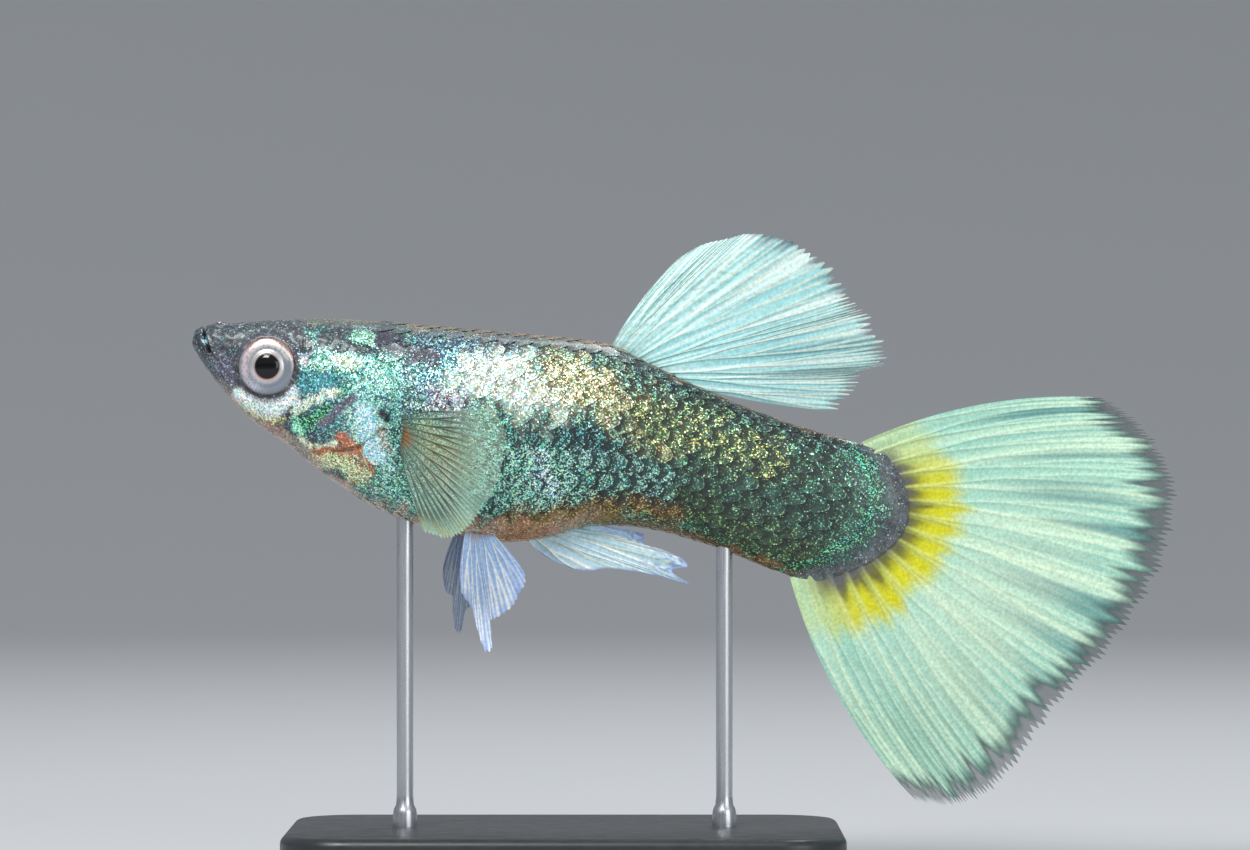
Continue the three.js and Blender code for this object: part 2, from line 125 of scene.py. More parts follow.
def patches(x, z, size, seed):
    """Soft random values about -1 to 1: ten sine waves of about this wavelength, in random directions."""
    rng = np.random.default_rng(seed)
    total = 0
    for _ in range(10):
        direction, phase = rng.uniform(0, 2 * np.pi, 2)
        wave = size * rng.uniform(0.7, 1.5)
        total = total + np.sin(2 * np.pi * (x * np.cos(direction) + z * np.sin(direction)) / wave + phase)
    return total / 3.2


def paint(code):
    """A colour written as six hex digits, in the linear values that Blender mixes."""
    srgb = np.array([int(code[k : k + 2], 16) for k in (0, 2, 4)]) / 255
    return np.where(srgb < 0.04045, srgb / 12.92, ((srgb + 0.055) / 1.055) ** 2.4)


def rgba(code):
    """The same colour with a full alpha, for a node's colour input."""
    return (*paint(code), 1)


def blended(colour, weight, code):
    """Colours moved towards a coded one, by weights kept between 0 and 1: c + (code - c) w."""
    return colour + (paint(code) - colour) * np.clip(weight, 0, 1)[..., None]


# %% [markdown]
# ## From numbers to a mesh
# Every piece of this fish is a closed tube: rings of points, each joined to the next, and both ends shut by
# a strip from one side to the other. A body is a round tube, a fin is one pressed flat, and so is a scale.
# One function therefore makes them all, and a second one keeps the faces pointing outwards.

# %% A closed tube, and the piece it becomes


def tube_faces(rows, ring):
    """Corners of a tube's quads, and each corner's (row, column) share, which the flat map uses."""
    i, j = np.meshgrid(np.arange(rows - 1), np.arange(ring), indexing="ij")
    row = np.stack([i, i, i + 1, i + 1], -1).reshape(-1, 4)
    column = np.stack([j, j + 1, j + 1, j], -1).reshape(-1, 4)
    walls = row * ring + column % ring
    share = np.stack([0.02 + 0.96 * row / (rows - 1), column / ring], -1)
    k = np.arange(ring // 2 - 1)
    start = np.stack([k, ring - 1 - k, ring - 2 - k, k + 1], -1)
    column = np.stack([k, k, k + 1, k + 1], -1) / ring
    edge = np.stack([np.broadcast_to([0, 0.01, 0.01, 0], start.shape), column], -1)
    end = (rows - 1) * ring + start[:, ::-1]
    far = np.stack([1 - edge[:, ::-1, 0], edge[:, ::-1, 1]], -1)
    return np.concatenate([walls, start, end]), np.concatenate([share, edge, far])


def volume(points, quads):
    """Six times the volume that quads close in: the sum of each half's triple product."""
    a, b, c, d = (points[quads[:, k]] for k in range(4))
    return (np.cross(a, b) * c).sum() + (np.cross(a, c) * d).sum()


def piece(name, points, material, nodes, layers, crease, faces=None):
    """A Blender object from a grid of fish-frame points, with its flat map and its colour layers."""
    quads, share = faces or tube_faces(*points.shape[:2])
    points = points.reshape(-1, 3)
    if volume(points, quads) < 0:
        quads, share = quads[:, ::-1], share[:, ::-1]
    mesh = bpy.data.meshes.new(name)
    mesh.vertices.add(len(points))
    mesh.vertices.foreach_set("co", placed(points).astype(np.float32).ravel())
    mesh.loops.add(quads.size)
    mesh.loops.foreach_set("vertex_index", quads.astype(np.int32).ravel())
    mesh.polygons.add(len(quads))
    mesh.polygons.foreach_set("loop_start", np.arange(0, quads.size, 4, dtype=np.int32))
    mesh.update(calc_edges=True)
    mesh.shade_smooth()
    mesh.set_sharp_from_angle(angle=np.radians(crease))
    mesh.uv_layers.new(name="OFBake").data.foreach_set("uv", share.astype(np.float32).ravel())
    for label, values in layers.items():
        layer = mesh.attributes.new(label, "FLOAT_COLOR", "POINT")
        layer.data.foreach_set("color", values.astype(np.float32).ravel())
    made = bpy.data.objects.new(name, mesh)
    bpy.context.scene.collection.objects.link(made)
    made.data.materials.append(material)
    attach(made, "root")
    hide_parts(*nodes)
    print(name, "has", 2 * len(quads), "triangles")
    return made


# %% [markdown]
# ## The body's form
# A guppy's body is a spindle: a flat crown, a deep belly in front and a long stalk behind. A modeller could
# push a subdivided box about, but the side view, the plan view and the section are three plain curves, so
# the form is written from those. Each station is a ring: the back and belly curves give its height, the
# plan curve its width.

# %% Curves of the body and the ring at a station
BACK = [
    [0, 0], [0.1, 0.42], [0.5, 0.68], [1.5, 1.08], [3.2, 1.68], [6.7, 2.61], [10.2, 3.2],
    [13.8, 3.8], [18.2, 4.42], [19.8, 4.13], [23.2, 3.48], [27, 3], [30.8, 2.95],
]
BELLY = [
    [0, 0], [0.17, -0.47], [0.6, -0.91], [1.3, -1.5], [3.5, -3], [5.5, -3.74], [7.6, -4.68], [10.6, -5.5],
    [13.4, -5.68], [16.5, -5.28], [19.5, -3.78], [21.9, -3.25], [25, -3.27], [29.2, -3.8],
]
HALF_WIDTH = [
    [0, 0], [0.12, 0.68], [0.5, 1.1], [1.5, 1.55], [3.7, 2.1], [7, 2.58], [11, 2.75],
    [16, 2.5], [21, 1.9], [26, 1.4], [29, 0.95], [30.8, 0.32],
]
WIDEST = [[0, 0.46], [3, 0.44], [11, 0.4], [20, 0.45], [30.8, 0.5]]
SQUARENESS = [[0, 0.62], [3, 0.74], [9, 0.95], [30.8, 0.95]]
STALK_END = 30.8
LEAN_FROM, TAIL_LEAN = 21, 1.6  # the station where the rings start to lean, and by how much at the end
BULGE_FROM, TAIL_BULGE = 24, 2.6
LIP_AT, LIP_HEIGHT, LIP_LENGTH = 0.95, 0.09, 0.22


def body_point(s, angle, inset=0.0):
    """The body's surface at station s, at an angle round from the back.

    Down the section the share is (1 - cos angle) / 2. The half width follows (4 w (1 - w)) to a power,
    where w is that share raised so that it is one half at the widest place. Near the tail the rings lean
    and bow aft.
    """
    lean = TAIL_LEAN * ease(s, LEAN_FROM, STALK_END)
    bulge = TAIL_BULGE * ease(s, BULGE_FROM, STALK_END)
    top_z = smooth(BACK, s) - inset
    bottom_x = s - lean
    bottom_z = smooth(BELLY, bottom_x) + inset
    down = (1 - np.cos(angle)) / 2
    level = down ** (np.log(0.5) / np.log(smooth(WIDEST, s, False)))
    round_share = np.maximum(4 * level * (1 - level), 0) ** (smooth(SQUARENESS, s, False) / 2)
    lip = LIP_HEIGHT * bump(s - LIP_AT, LIP_LENGTH) * np.cos(angle / 2) ** 2
    half = np.maximum(smooth(HALF_WIDTH, s) - inset + lip, 0)
    x = s + (bottom_x - s) * down + bulge * 4 * down * (1 - down)
    y = half * round_share * np.sign(np.sin(angle))
    z = top_z + (bottom_z - top_z) * down + lip * np.cos(angle)
    return np.stack([x, y, z], -1)


def body_normal(s, angle, inset=0.0):
    """Outwards from the surface: the cross product of small steps along and round it."""
    step_s, step_a = 0.02, 0.01
    along = body_point(s + step_s, angle, inset) - body_point(s - step_s, angle, inset)
    across = body_point(s, angle + step_a, inset) - body_point(s, angle - step_a, inset)
    normal = np.cross(along, across)
    normal /= np.linalg.norm(normal, axis=-1, keepdims=True) + 1e-12
    outward = np.stack([np.zeros_like(s), np.sin(angle), np.cos(angle)], -1)
    return normal * np.sign((normal * outward).sum(-1, keepdims=True) + 1e-9)


print("body depth at station 13 is", round(float(smooth(BACK, 13.0) - smooth(BELLY, 13.0)), 2), "mm")

# %% [markdown]
# ## Markings
# The fish is not one colour with a pattern on it: dark cells lie under a layer of tiny mirror cells, and
# what shows is how many mirrors each place has and what colour they throw back. So each place gets three
# things: a deep colour, a glint colour and the share of glints. The skin and the scales ask the same
# function, so the marks run through.

# %% The marks, as soft strokes on the side of the fish
# Each stroke is its line of [x, z] points, half width, deep colour, glint colour, glint share and raggedness
BROAD = 0.8  # from this half width on, a stroke has a cloudier edge
LID_RADIUS = 1.33
STROKES = [
    # the stalk and the flank, from the tail forwards
    ([[23.5, 0.2], [27.0, -0.2], [29.5, -0.3]], 3.2, "2f4a44", "8cc4a0", 0.2, 0.2),
    ([[22.0, -1.4], [26.0, -2.2], [29.0, -2.6]], 0.9, "2e4030", "94b878", 0.16, 0.3),
    ([[18.4, -0.9], [20.7, -0.8], [22.0, -1.3]], 0.9, "244a4c", "b4dcd0", 0.4, 0.4),
    ([[13.4, -1.6], [16.7, -2.0], [17.6, -2.9]], 1.25, "163e3e", "c0f2e2", 0.62, 0.35),
    ([[11.4, -1.6], [12.6, -3.6]], 0.8, "2c4438", "e4ecb4", 0.56, 0.5),
    ([[16.4, -1.2], [17.4, -2.4]], 0.5, "22424c", "e2f4fa", 0.6, 0.5),
    ([[14.5, -3.3], [16.4, -3.5]], 0.5, "1c5450", "c2f4e2", 0.6, 0.4),
    ([[15.6, -0.3], [17.9, 0.3], [20.0, 0.3]], 0.6, "0b2c36", "86ccc8", 0.3, 0.4),
    (
        [[15.8, -4.6], [17.5, -3.9], [19.4, -2.9], [21.2, -2.3], [23.0, -2.3]],
        0.5, "5c4428", "ccaa6c", 0.34, 0.5,
    ),
    ([[15.4, -5.05], [16.4, -4.8], [17.6, -4.35]], 0.25, "a86a3c", "e0b07c", 0.3, 0.4),
    ([[17.4, -4.1], [18.6, -3.6], [20.4, -3.1]], 0.3, "7a6234", "c4a868", 0.3, 0.4),
    ([[11.0, 2.2], [13.4, 2.5]], 1.25, "15304a", "a6dcf2", 0.36, 0.4),
    ([[10.0, 1.2], [11.6, 1.0]], 0.9, "1a465a", "b4ecf4", 0.5, 0.4),
    ([[10.0, -0.4], [11.0, 0.1], [12.4, 0.0]], 0.7, "54546e", "ece4f8", 0.6, 0.4),
    ([[13.0, 1.5], [14.4, 1.9], [15.3, 1.2], [16.8, 1.7]], 1.05, "d2caaa", "ffffff", 0.9, 0.35),
    ([[16.6, 2.6], [18.2, 2.3], [20.2, 1.8], [21.8, 1.3]], 1.0, "86743c", "fff4d0", 0.6, 0.4),
    ([[21.0, 1.5], [23.6, 1.5], [26.4, 1.2]], 1.0, "3c5440", "e0e098", 0.34, 0.5),
    # the head
    ([[6.2, 0.1], [8.4, 0.0], [9.8, -0.6]], 1.0, "24525a", "a8e2dc", 0.42, 0.3),
    ([[8.4, -1.2], [8.9, -2.6], [9.8, -3.9]], 0.85, "4a8482", "d4f6ee", 0.66, 0.3),
    ([[9.6, -4.0], [11.4, -4.5]], 0.45, "2c6a62", "b8eedc", 0.5, 0.4),
    ([[1.5, -0.65], [2.25, -1.2]], 0.5, "4c4b58", "9694aa", 0.3, 0.3),
    ([[1.9, -1.85], [3.08, -2.45], [4.25, -3.05], [5.3, -3.45]], 0.3, "7d726d", "b9aca4", 0.22, 0.2),
    ([[4.9, -3.05], [5.7, -3.45], [6.7, -3.85]], 0.22, "94857c", "c4b4aa", 0.25, 0.3),
    ([[4.2, -2.95], [5.2, -3.2]], 0.18, "a27a72", "dab6b0", 0.25, 0.3),
    ([[3.0, -2.35], [3.67, -2.66], [4.54, -2.72], [5.0, -2.55]], 0.15, "7c6c3c", "eedda2", 0.7, 0.4),
    (
        [[2.95, -1.95], [3.76, -2.25], [4.45, -2.15], [4.9, -1.7], [5.06, -1.2]],
        0.42, "cfc8d6", "fffcff", 0.95, 0.25,
    ),
    ([[5.4, 1.6], [5.9, 1.6]], 0.32, "1c4044", "80dccc", 0.42, 0.5),
    ([[5.9, 1.75], [6.9, 1.55], [7.4, 1.3]], 0.5, "25252f", "608c92", 0.14, 0.5),
    ([[8.55, 2.15], [9.6, 1.75], [10.6, 1.95]], 0.48, "272638", "707a90", 0.16, 0.5),
    ([[7.45, 2.0], [7.75, 2.05]], 0.42, "1f5a5c", "b8f0d0", 0.6, 0.4),
    ([[5.0, 1.95], [6.56, 2.5], [8.15, 2.82]], 0.1, "5a5230", "cac284", 0.5, 0.3),
    ([[5.62, -0.67], [6.46, -0.37]], 0.55, "2c6876", "7ccad6", 0.36, 0.2),
    (
        [[5.79, 0.29], [6.71, 0.61], [7.51, 0.77], [8.36, 0.7], [9.26, 1.1]],
        0.42, "1d5a5c", "baf2e4", 0.68, 0.4,
    ),
    ([[6.6, 0.68], [7.5, 0.72]], 0.26, "4a6a58", "f0fae0", 0.8, 0.5),
    ([[7.19, -0.6], [7.76, -0.21]], 0.34, "1c4a4c", "92e2ce", 0.46, 0.4),
    ([[8.13, -0.3], [9.0, 0.2], [9.7, 0.3]], 0.55, "28646a", "c4f6ee", 0.66, 0.35),
    ([[5.24, 0.23]], 0.24, "8f88a8", "fdf2ff", 0.9, 0.3),
    ([[5.8, -2.5], [6.3, -2.3], [6.77, -1.85]], 0.38, "0e3228", "82e2b2", 0.38, 0.3),
    ([[6.72, -2.3], [7.16, -1.78], [7.51, -1.19], [7.84, -0.85]], 0.19, "5b596b", "9ca2b6", 0.2, 0.2),
    (
        [[5.42, -2.1], [5.65, -1.76], [6.05, -1.36], [6.55, -1.02], [6.95, -0.8]],
        0.23, "8a8c78", "fffdf2", 0.78, 0.5,
    ),
    ([[5.52, -2.5], [5.65, -2.75], [5.98, -3.0]], 0.2, "2c7a5c", "baffde", 0.72, 0.3),
    ([[5.94, -3.19], [6.58, -3.4], [7.29, -3.25], [7.55, -2.94]], 0.14, "a8905a", "fff8de", 0.85, 0.4),
    ([[7.1, -3.8], [7.89, -3.8], [8.95, -4.1]], 0.46, "8e8450", "faf4c8", 0.7, 0.35),
    ([[8.46, -1.28], [8.85, -2.0], [9.4, -2.9]], 0.45, "74aacc", "e0f6ff", 0.72, 0.25),
    ([[9.4, -1.9], [9.9, -2.7]], 0.22, "66665e", "d8d8cc", 0.5, 0.3),
    ([[7.85, -2.72], [8.2, -3.0]], 0.34, "a4563e", "d8987c", 0.3, 0.5),
    ([[8.3, -3.0], [8.8, -3.25], [9.3, -3.75]], 0.3, "a8603e", "e2ac88", 0.34, 0.55),
    ([[6.7, -3.6], [7.5, -3.3], [7.9, -3.2]], 0.16, "a0543c", "dc9872", 0.34, 0.5),
    ([[9.2, -1.15], [9.5, -1.3]], 0.18, "1c2024", "5c6468", 0.12, 0.4),
]


def off_line(x, z, line):
    """The distance from places to a line of points, the nearest over all its stretches."""
    line = list(line)
    if len(line) == 1:
        line = line * 2
    nearest = np.full(x.shape, np.inf)
    for (ax, az), (bx, bz) in zip(line[:-1], line[1:]):
        run_x, run_z = bx - ax, bz - az
        t = np.clip(((x - ax) * run_x + (z - az) * run_z) / (run_x**2 + run_z**2 + 1e-9), 0, 1)
        nearest = np.minimum(nearest, np.hypot(x - ax - t * run_x, z - az - t * run_z))
    return nearest


def marks(x, z, s):
    """Deep colour, glint colour and glint share at places on the side of the fish.

    The ground runs from a slate back to a flesh-coloured belly by height. Each stroke is then laid over it,
    with a weight that falls from 1 to 0 across its edge, which the soft random values make ragged.
    """
    top, low = smooth(BACK, x), smooth(BELLY, x)
    height = (z - low) / (top - low + 1e-6)
    head = 1 - ease(x, 7.6, 9.2)
    deep = np.zeros(x.shape + (3,)) + paint("173c40")
    glint = np.zeros_like(deep) + paint("8fd4c4")
    share = np.full(x.shape, 0.42)

    def lay(weight, deep_code, glint_code, new_share):
        nonlocal deep, glint, share
        deep = blended(deep, weight, deep_code)
        glint = blended(glint, weight, glint_code)
        share = share + (new_share - share) * np.clip(weight, 0, 1)

    lay(head, "34363f", "7f9aa4", 0.16)
    below_crown = ease(height, 0.1, 0.3) * (1 - 0.6 * ease(height, 0.62, 0.8))
    lay(head * ease(x, 5.3, 5.9) * below_crown, "2c4a52", "8fc8cc", 0.38)
    for k, (line, wide, deep_code, glint_code, glints, ragged) in enumerate(STROKES):
        broad = wide >= BROAD
        away = off_line(x, z, line) / wide + ragged * 0.7 * patches(x, z, min(1.5, 2.2 * wide), k)
        away = away + 0.22 * broad * patches(x, z, 0.55, 100 + k)
        inner, outer = (0.25, 1.65) if broad else (0.4, 1.5)
        lay(1 - ease(away, inner, outer), deep_code, glint_code, glints)
    eye = np.hypot(x - EYE[0], z - EYE[2])
    lay(1 - ease(np.abs(eye - LID_RADIUS), 0.06, 0.16), "45434c", "84848f", 0.15)
    lay(ease(height, 0.88, 0.97) * 0.7, "34383e", "868e94", 0.26)
    lay(ease(height, 0.97, 0.995) * 0.85, "6e5a4a", "c4a88c", 0.35)
    rise = 0.05 * ease(x, 10.5, 14)
    above_edge = height - rise + 0.025 * patches(x, z, 1.1, 90)
    pale_belly = (1 - ease(above_edge, 0.005, 0.085)) * (1 - ease(x, 17.5, 21))
    lay(pale_belly * ease(x, 1.6, 3.0), "b59a88", "ead6c4", 0.25)
    lay(pale_belly * bump(x - 16.6, 2.0) * 0.7, "a4632c", "e0b078", 0.3)
    lay((1 - ease(height, 0.02, 0.08)) * ease(x, 19, 22), "6a5436", "b89c70", 0.25)
    lay(bump(s - 29.75 + 0.15 * patches(x, z, 1.4, 92), 0.15) * 0.8, "1c3c3c", "7dffcf", 0.3)
    lay(ease(s + 0.2 * patches(x, z, 0.8, 91), 30.0, 30.8), "4e5458", "7c848a", 0.09)
    return deep, glint, share


def mark_layers(x, z, s, shade=1.0, glint_shade=1.0, fewer=0.0):
    """The marks as the two colour layers of the skin's material, with the share in the second one's alpha."""
    deep, glint, share = marks(x, z, s)
    deep = np.concatenate([deep * np.asarray(shade)[..., None], np.ones(x.shape + (1,))], -1)
    share = np.clip(share - fewer, 0.02, 1)[..., None]
    glint = np.concatenate([glint * np.asarray(glint_shade)[..., None], share], -1)
    return {"deep": deep, "glint": glint}


print(len(STROKES), "strokes of colour")

# %% [markdown]
# ## The skin's finish
# Under a lens the side of a guppy is a crowd of flecks far smaller than a tenth of a millimetre, each its
# own flat mirror. A cell pattern gives each fleck three random numbers: one decides whether it is bare or a
# mirror, one picks its hue and one its brightness, and together they tip it a little. Over it all lies a
# thin moist film, which the clear coat stands for.

# %% Material of skin and scales
FLECK = 18000  # flecks to a metre, so each is about an eighteenth of a millimetre wide


def new_material(name):
    """An empty node material and its main shader."""
    material = bpy.data.materials.new(name)
    material.use_nodes = True
    return material, material.node_tree, material.node_tree.nodes["Principled BSDF"]


def preset(made, **settings):
    """Sets a node's inputs by their names, and its properties where no input has the name."""
    for label, value in settings.items():
        name = label.replace("_", " ")
        if name in made.inputs:
            made.inputs[name].default_value = value
        else:
            setattr(made, label, value)
    return made


def node(tree, kind, **settings):
    """A new node with its settings."""
    return preset(tree.nodes.new("ShaderNode" + kind), **settings)


def pattern(tree, kind, **settings):
    """A texture that reads Object coordinates, so it sits still on the piece."""
    made = node(tree, kind, **settings)
    tree.links.new(node(tree, "TexCoord").outputs["Object"], made.inputs["Vector"])
    return made


def ripple(tree, shader, height, strength, distance):
    """A faint bump on a shader, from one output."""
    made = node(tree, "Bump", Strength=strength, Distance=distance)
    tree.links.new(height, made.inputs["Height"])
    tree.links.new(made.outputs["Normal"], shader.inputs["Normal"])


def feed(tree, value, socket):
    """Links an output to an input, or sets the input to a plain value."""
    if isinstance(value, bpy.types.NodeSocket):
        tree.links.new(value, socket)
    else:
        socket.default_value = value


def mix_colours(tree, share, first, second, blend="MIX"):
    """A colour mix, first (1 - share) + second share, or their product where blend says so."""
    made = node(tree, "Mix", data_type="RGBA", blend_type=blend)
    for place, value in ((0, share), (6, first), (7, second)):
        feed(tree, value, made.inputs[place])
    return made.outputs[2]


def eased_output(tree, source, low, high, start=0.0, end=1.0):
    """An output eased from start, where it is low, to end, where it is high."""
    made = node(tree, "MapRange", interpolation_type="SMOOTHSTEP")
    labels = ("Value", "From Min", "From Max", "To Min", "To Max")
    for label, value in zip(labels, (source, low, high, start, end)):
        feed(tree, value, made.inputs[label])
    return made.outputs["Result"]


def sum_of(tree, first, factor, second):
    """first times factor plus second."""
    made = node(tree, "Math", operation="MULTIPLY_ADD")
    for place, value in enumerate((first, factor, second)):
        feed(tree, value, made.inputs[place])
    return made.outputs[0]


def combined(tree, operation, first, second):
    """A vector operation on two vectors or colours."""
    made = node(tree, "VectorMath", operation=operation)
    feed(tree, first, made.inputs[0])
    feed(tree, second, made.inputs[1])
    return made.outputs["Vector"]


def scaled(tree, vector, factor):
    """A vector or colour times a number."""
    made = node(tree, "VectorMath", operation="SCALE")
    feed(tree, vector, made.inputs[0])
    feed(tree, factor, made.inputs["Scale"])
    return made.outputs["Vector"]


def skin_material():
    """Flecks over a mottled ground.

    A fleck is a mirror where the glint share, plus the clumps' noise, is more than the fleck's first
    number. The deep colour is scaled by the mottle, the glint colour by the fleck's brightness, and a few
    flecks are stars, painted highlights mixed towards white.
    """
    material, tree, shader = new_material("guppy_skin")
    link = tree.links.new
    deep = node(tree, "Attribute", attribute_name="deep")
    glint = node(tree, "Attribute", attribute_name="glint")
    flecks = pattern(tree, "TexVoronoi", Scale=FLECK)
    clumps = pattern(tree, "TexNoise", Scale=FLECK / 4, Detail=3.0, Roughness=0.6)
    mottle = pattern(tree, "TexNoise", Scale=FLECK / 9, Detail=3.0, Roughness=0.6)
    stars = pattern(tree, "TexVoronoi", Scale=FLECK / 2.2)
    dice = node(tree, "SeparateColor")
    link(flecks.outputs["Color"], dice.inputs["Color"])
    toss = node(tree, "SeparateColor")
    link(stars.outputs["Color"], toss.inputs["Color"])
    chance = sum_of(tree, clumps.outputs["Fac"], 1.0, sum_of(tree, glint.outputs["Alpha"], 1.0, -0.5))
    mirror = eased_output(tree, sum_of(tree, dice.outputs["Red"], -1.0, chance), -0.12, 0.12)
    hues = node(tree, "ValToRGB")
    ramp = hues.color_ramp
    ramp.interpolation = "CONSTANT"
    ramp.elements[0].color = rgba("8fe6e0")
    ramp.elements[1].position = 0.3
    ramp.elements[1].color = rgba("ffffff")
    for position, code in ((0.62, "ffe2a0"), (0.78, "cfc4ff"), (0.88, "98f0bc")):
        ramp.elements.new(position).color = rgba(code)
    link(dice.outputs["Green"], hues.inputs["Fac"])
    tinted = mix_colours(tree, 0.8, glint.outputs["Color"], hues.outputs["Color"], "MULTIPLY")
    tinted = scaled(tree, tinted, eased_output(tree, dice.outputs["Blue"], 0, 1, 0.65, 1.6))
    uneven = sum_of(tree, dice.outputs["Blue"], 0.35, mottle.outputs["Fac"])
    depth = eased_output(tree, uneven, 0.35, 1.0, 0.4, 1.6)
    ground = mix_colours(tree, mirror, scaled(tree, deep.outputs["Color"], depth), tinted)
    # painted highlight: a few flecks, the stars, are mixed towards white as sparkles
    lucky = eased_output(tree, sum_of(tree, glint.outputs["Alpha"], 0.1, toss.outputs["Red"]), 0.955, 0.975)
    near = eased_output(tree, stars.outputs["Distance"], 0.2, 0.42, 1, 0)
    star = sum_of(tree, lucky, near, 0.0)
    bright = mix_colours(tree, 0.45, glint.outputs["Color"], (1, 1, 1, 1))
    link(mix_colours(tree, star, ground, bright), shader.inputs["Base Color"])
    link(eased_output(tree, mirror, 0, 1, 0.0, 0.28), shader.inputs["Metallic"])
    link(eased_output(tree, mirror, 0, 1, 0.5, 0.34), shader.inputs["Roughness"])
    lean = combined(tree, "SUBTRACT", flecks.outputs["Color"], (0.5, 0.5, 0.5))
    lean = scaled(tree, lean, eased_output(tree, mirror, 0, 1, 0.1, 0.55))
    tipped = combined(tree, "ADD", node(tree, "NewGeometry").outputs["Normal"], lean)
    unit = node(tree, "VectorMath", operation="NORMALIZE")
    link(tipped, unit.inputs[0])
    link(unit.outputs["Vector"], shader.inputs["Normal"])
    preset(shader, Coat_Weight=0.3, Coat_Roughness=0.16)
    return material


SKIN = skin_material()

# %% [markdown]
# ## The skin
# The real skin is one piece from lip to tail, folded at the mouth, the nostrils, round the eyes and along
# the gill cover. The rings give its plain form, and each fold is a small height added along the outward
# direction, chosen by how far a place is from the fold's line. It lies a scale's depth inside the solids,
# and tapers on to the tail fin.

# %% Folds of the head
COAT = 0.07  # how far the skin lies inside the solids, which is the scales' depth
MOUTH = np.array([[0.4, 1.6], [0.46, 0.62], [0.62, 0.1], [1.02, -0.42]])
JAW = np.array([[1.02, -0.42], [1.7, -1.0], [2.9, -1.85]])
CHEEK_EDGE = np.array([[5.0, 1.1], [5.14, 0.0], [5.3, -1.2], [5.15, -2.3], [4.75, -2.9]])
GILL = np.array([7.15, -0.9])
GILL_RADIUS = 2.42


def folds(x, y, z):
    """Heights in millimetres to add to the plain skin, outwards where positive.

    Each fold is a bell of the distance to its line: a slit for the mouth with a lip beside it, a groove and
    a ridge along the jaw, a pit and a rim for the eye, a step at the cheek's edge, a raised gill plate with
    a slit behind it, and a small ring round each nostril.
    """
    front = 1 - ease(x, 1.0, 1.25)
    mouth = off_line(x, z, MOUTH)
    height = (-0.3 * bump(mouth, 0.055) + 0.05 * bump(mouth - 0.15, 0.08)) * front
    jaw = off_line(x, z, JAW)
    height += -0.05 * bump(jaw, 0.07) + 0.03 * bump(jaw - 0.2, 0.14) * (z > -2.2)
    eye = np.hypot(x - EYE[0], z - EYE[2])
    height += -0.5 * (1 - ease(eye, 1.0, 1.2))
    height += 0.05 * bump(eye - 1.32, 0.12) - 0.04 * bump(eye - 1.66, 0.16)
    cheek = off_line(x, z, CHEEK_EDGE)
    height += np.where(x < smooth(CHEEK_EDGE[::-1, ::-1], z, False), 0.035, -0.035) * bump(cheek, 0.1)
    reach = np.hypot(x - GILL[0], z - GILL[1])
    turn = np.degrees(np.arctan2(z - GILL[1], x - GILL[0]))
    edge = ease(turn, -105, -70) * (1 - ease(turn, 70, 100))
    plate = 0.05 * (1 - ease(reach, 1.6, 2.3)) + 0.05 * bump(reach - (GILL_RADIUS - 0.12), 0.12)
    height += edge * (plate - 0.16 * bump(reach - GILL_RADIUS - 0.07, 0.075)) * ease(x, 5.2, 6.4)
    side = np.abs(y)
    nostril = np.sqrt((x - 1.15) ** 2 + (side - 0.6) ** 2) + 9 * (z < 0.4)
    height += 0.1 * bump(nostril - 0.17, 0.06) - 0.22 * bump(nostril, 0.1)
    return height


# %% The skin as one piece
SKIN_ROWS = 410
SKIN_RING = 216
SKIN_START = 0.03 + COAT
SKIN_END = 31.35
TAPER_FROM, TAPER = 29.6, 0.45  # the station where the skin starts to narrow, and by what share at its end
FLESH = ["head", "lower_jaw", "gill_cover_left", "gill_cover_right", "trunk", "tail_stalk"]


def whole_skin():
    """The body's rings, closer together at the snout, with the folds and a fine roughness along the normal.

    Station = start + (end - start) share^1.35. Towards the tail fin the skin's width is eased down by 45
    percent.
    """
    share = np.linspace(0, 1, SKIN_ROWS) ** 1.35
    s = (SKIN_START + (SKIN_END - SKIN_START) * share)[:, None]
    angle = (2 * np.pi * (np.arange(SKIN_RING) + 0.5) / SKIN_RING)[None, :]
    s, angle = np.broadcast_arrays(s, angle)
    points = body_point(s, angle, COAT)
    points[..., 1] *= 1 - TAPER * ease(s, TAPER_FROM, SKIN_END)
    x, y, z = np.moveaxis(points, -1, 0)
    fine = 0.012 * patches(x, z, 0.5, 5) * (1 - ease(x, 8, 10))
    near_tip = ease(s, 0.12, 0.3)
    points = points + body_normal(s, angle, COAT) * ((folds(x, y, z) + fine) * near_tip)[..., None]
    return piece("skin", points, SKIN, FLESH, head_colours(x, z, s), 80)


def head_colours(x, z, s):
    """The marks, darkened with painted shade in the folds of the head and round the eye, and with a painted
    highlight along the upper lip.
    """
    mouth = off_line(x, z, MOUTH)
    eye = np.hypot(x - EYE[0], z - EYE[2])
    # painted shade: darker in the mouth's slit, in the eye's pit and along the cheek's edge
    shade = 1 - 0.75 * bump(mouth, 0.07) * (x < 1.3)
    shade = shade * (1 - 0.5 * (1 - ease(eye, 1.2, 1.36)))
    shade = shade * (1 - 0.5 * bump(off_line(x, z, CHEEK_EDGE), 0.09))
    # painted shade under the eye, darker and with fewer glints, and fewer glints in the mouth's slit
    below = bump(eye - 1.5, 0.14) * ease(EYE[2] - z, 0.6, 1.2)
    fewer = 0.5 * below + 0.6 * bump(mouth, 0.1) * (x < 1.3)
    layers = mark_layers(x, z, s, shade * (1 - 0.5 * below), 1, fewer)
    # painted highlight: a pale blue glint streak along the upper lip
    streak = bump(np.hypot(x - 0.66, (z - 0.05) * 0.45), 0.1)
    layers["glint"][..., :3] = blended(layers["glint"][..., :3], streak, "cfe4ff")
    layers["glint"][..., 3] = np.maximum(layers["glint"][..., 3], streak)
    return layers


whole_skin()

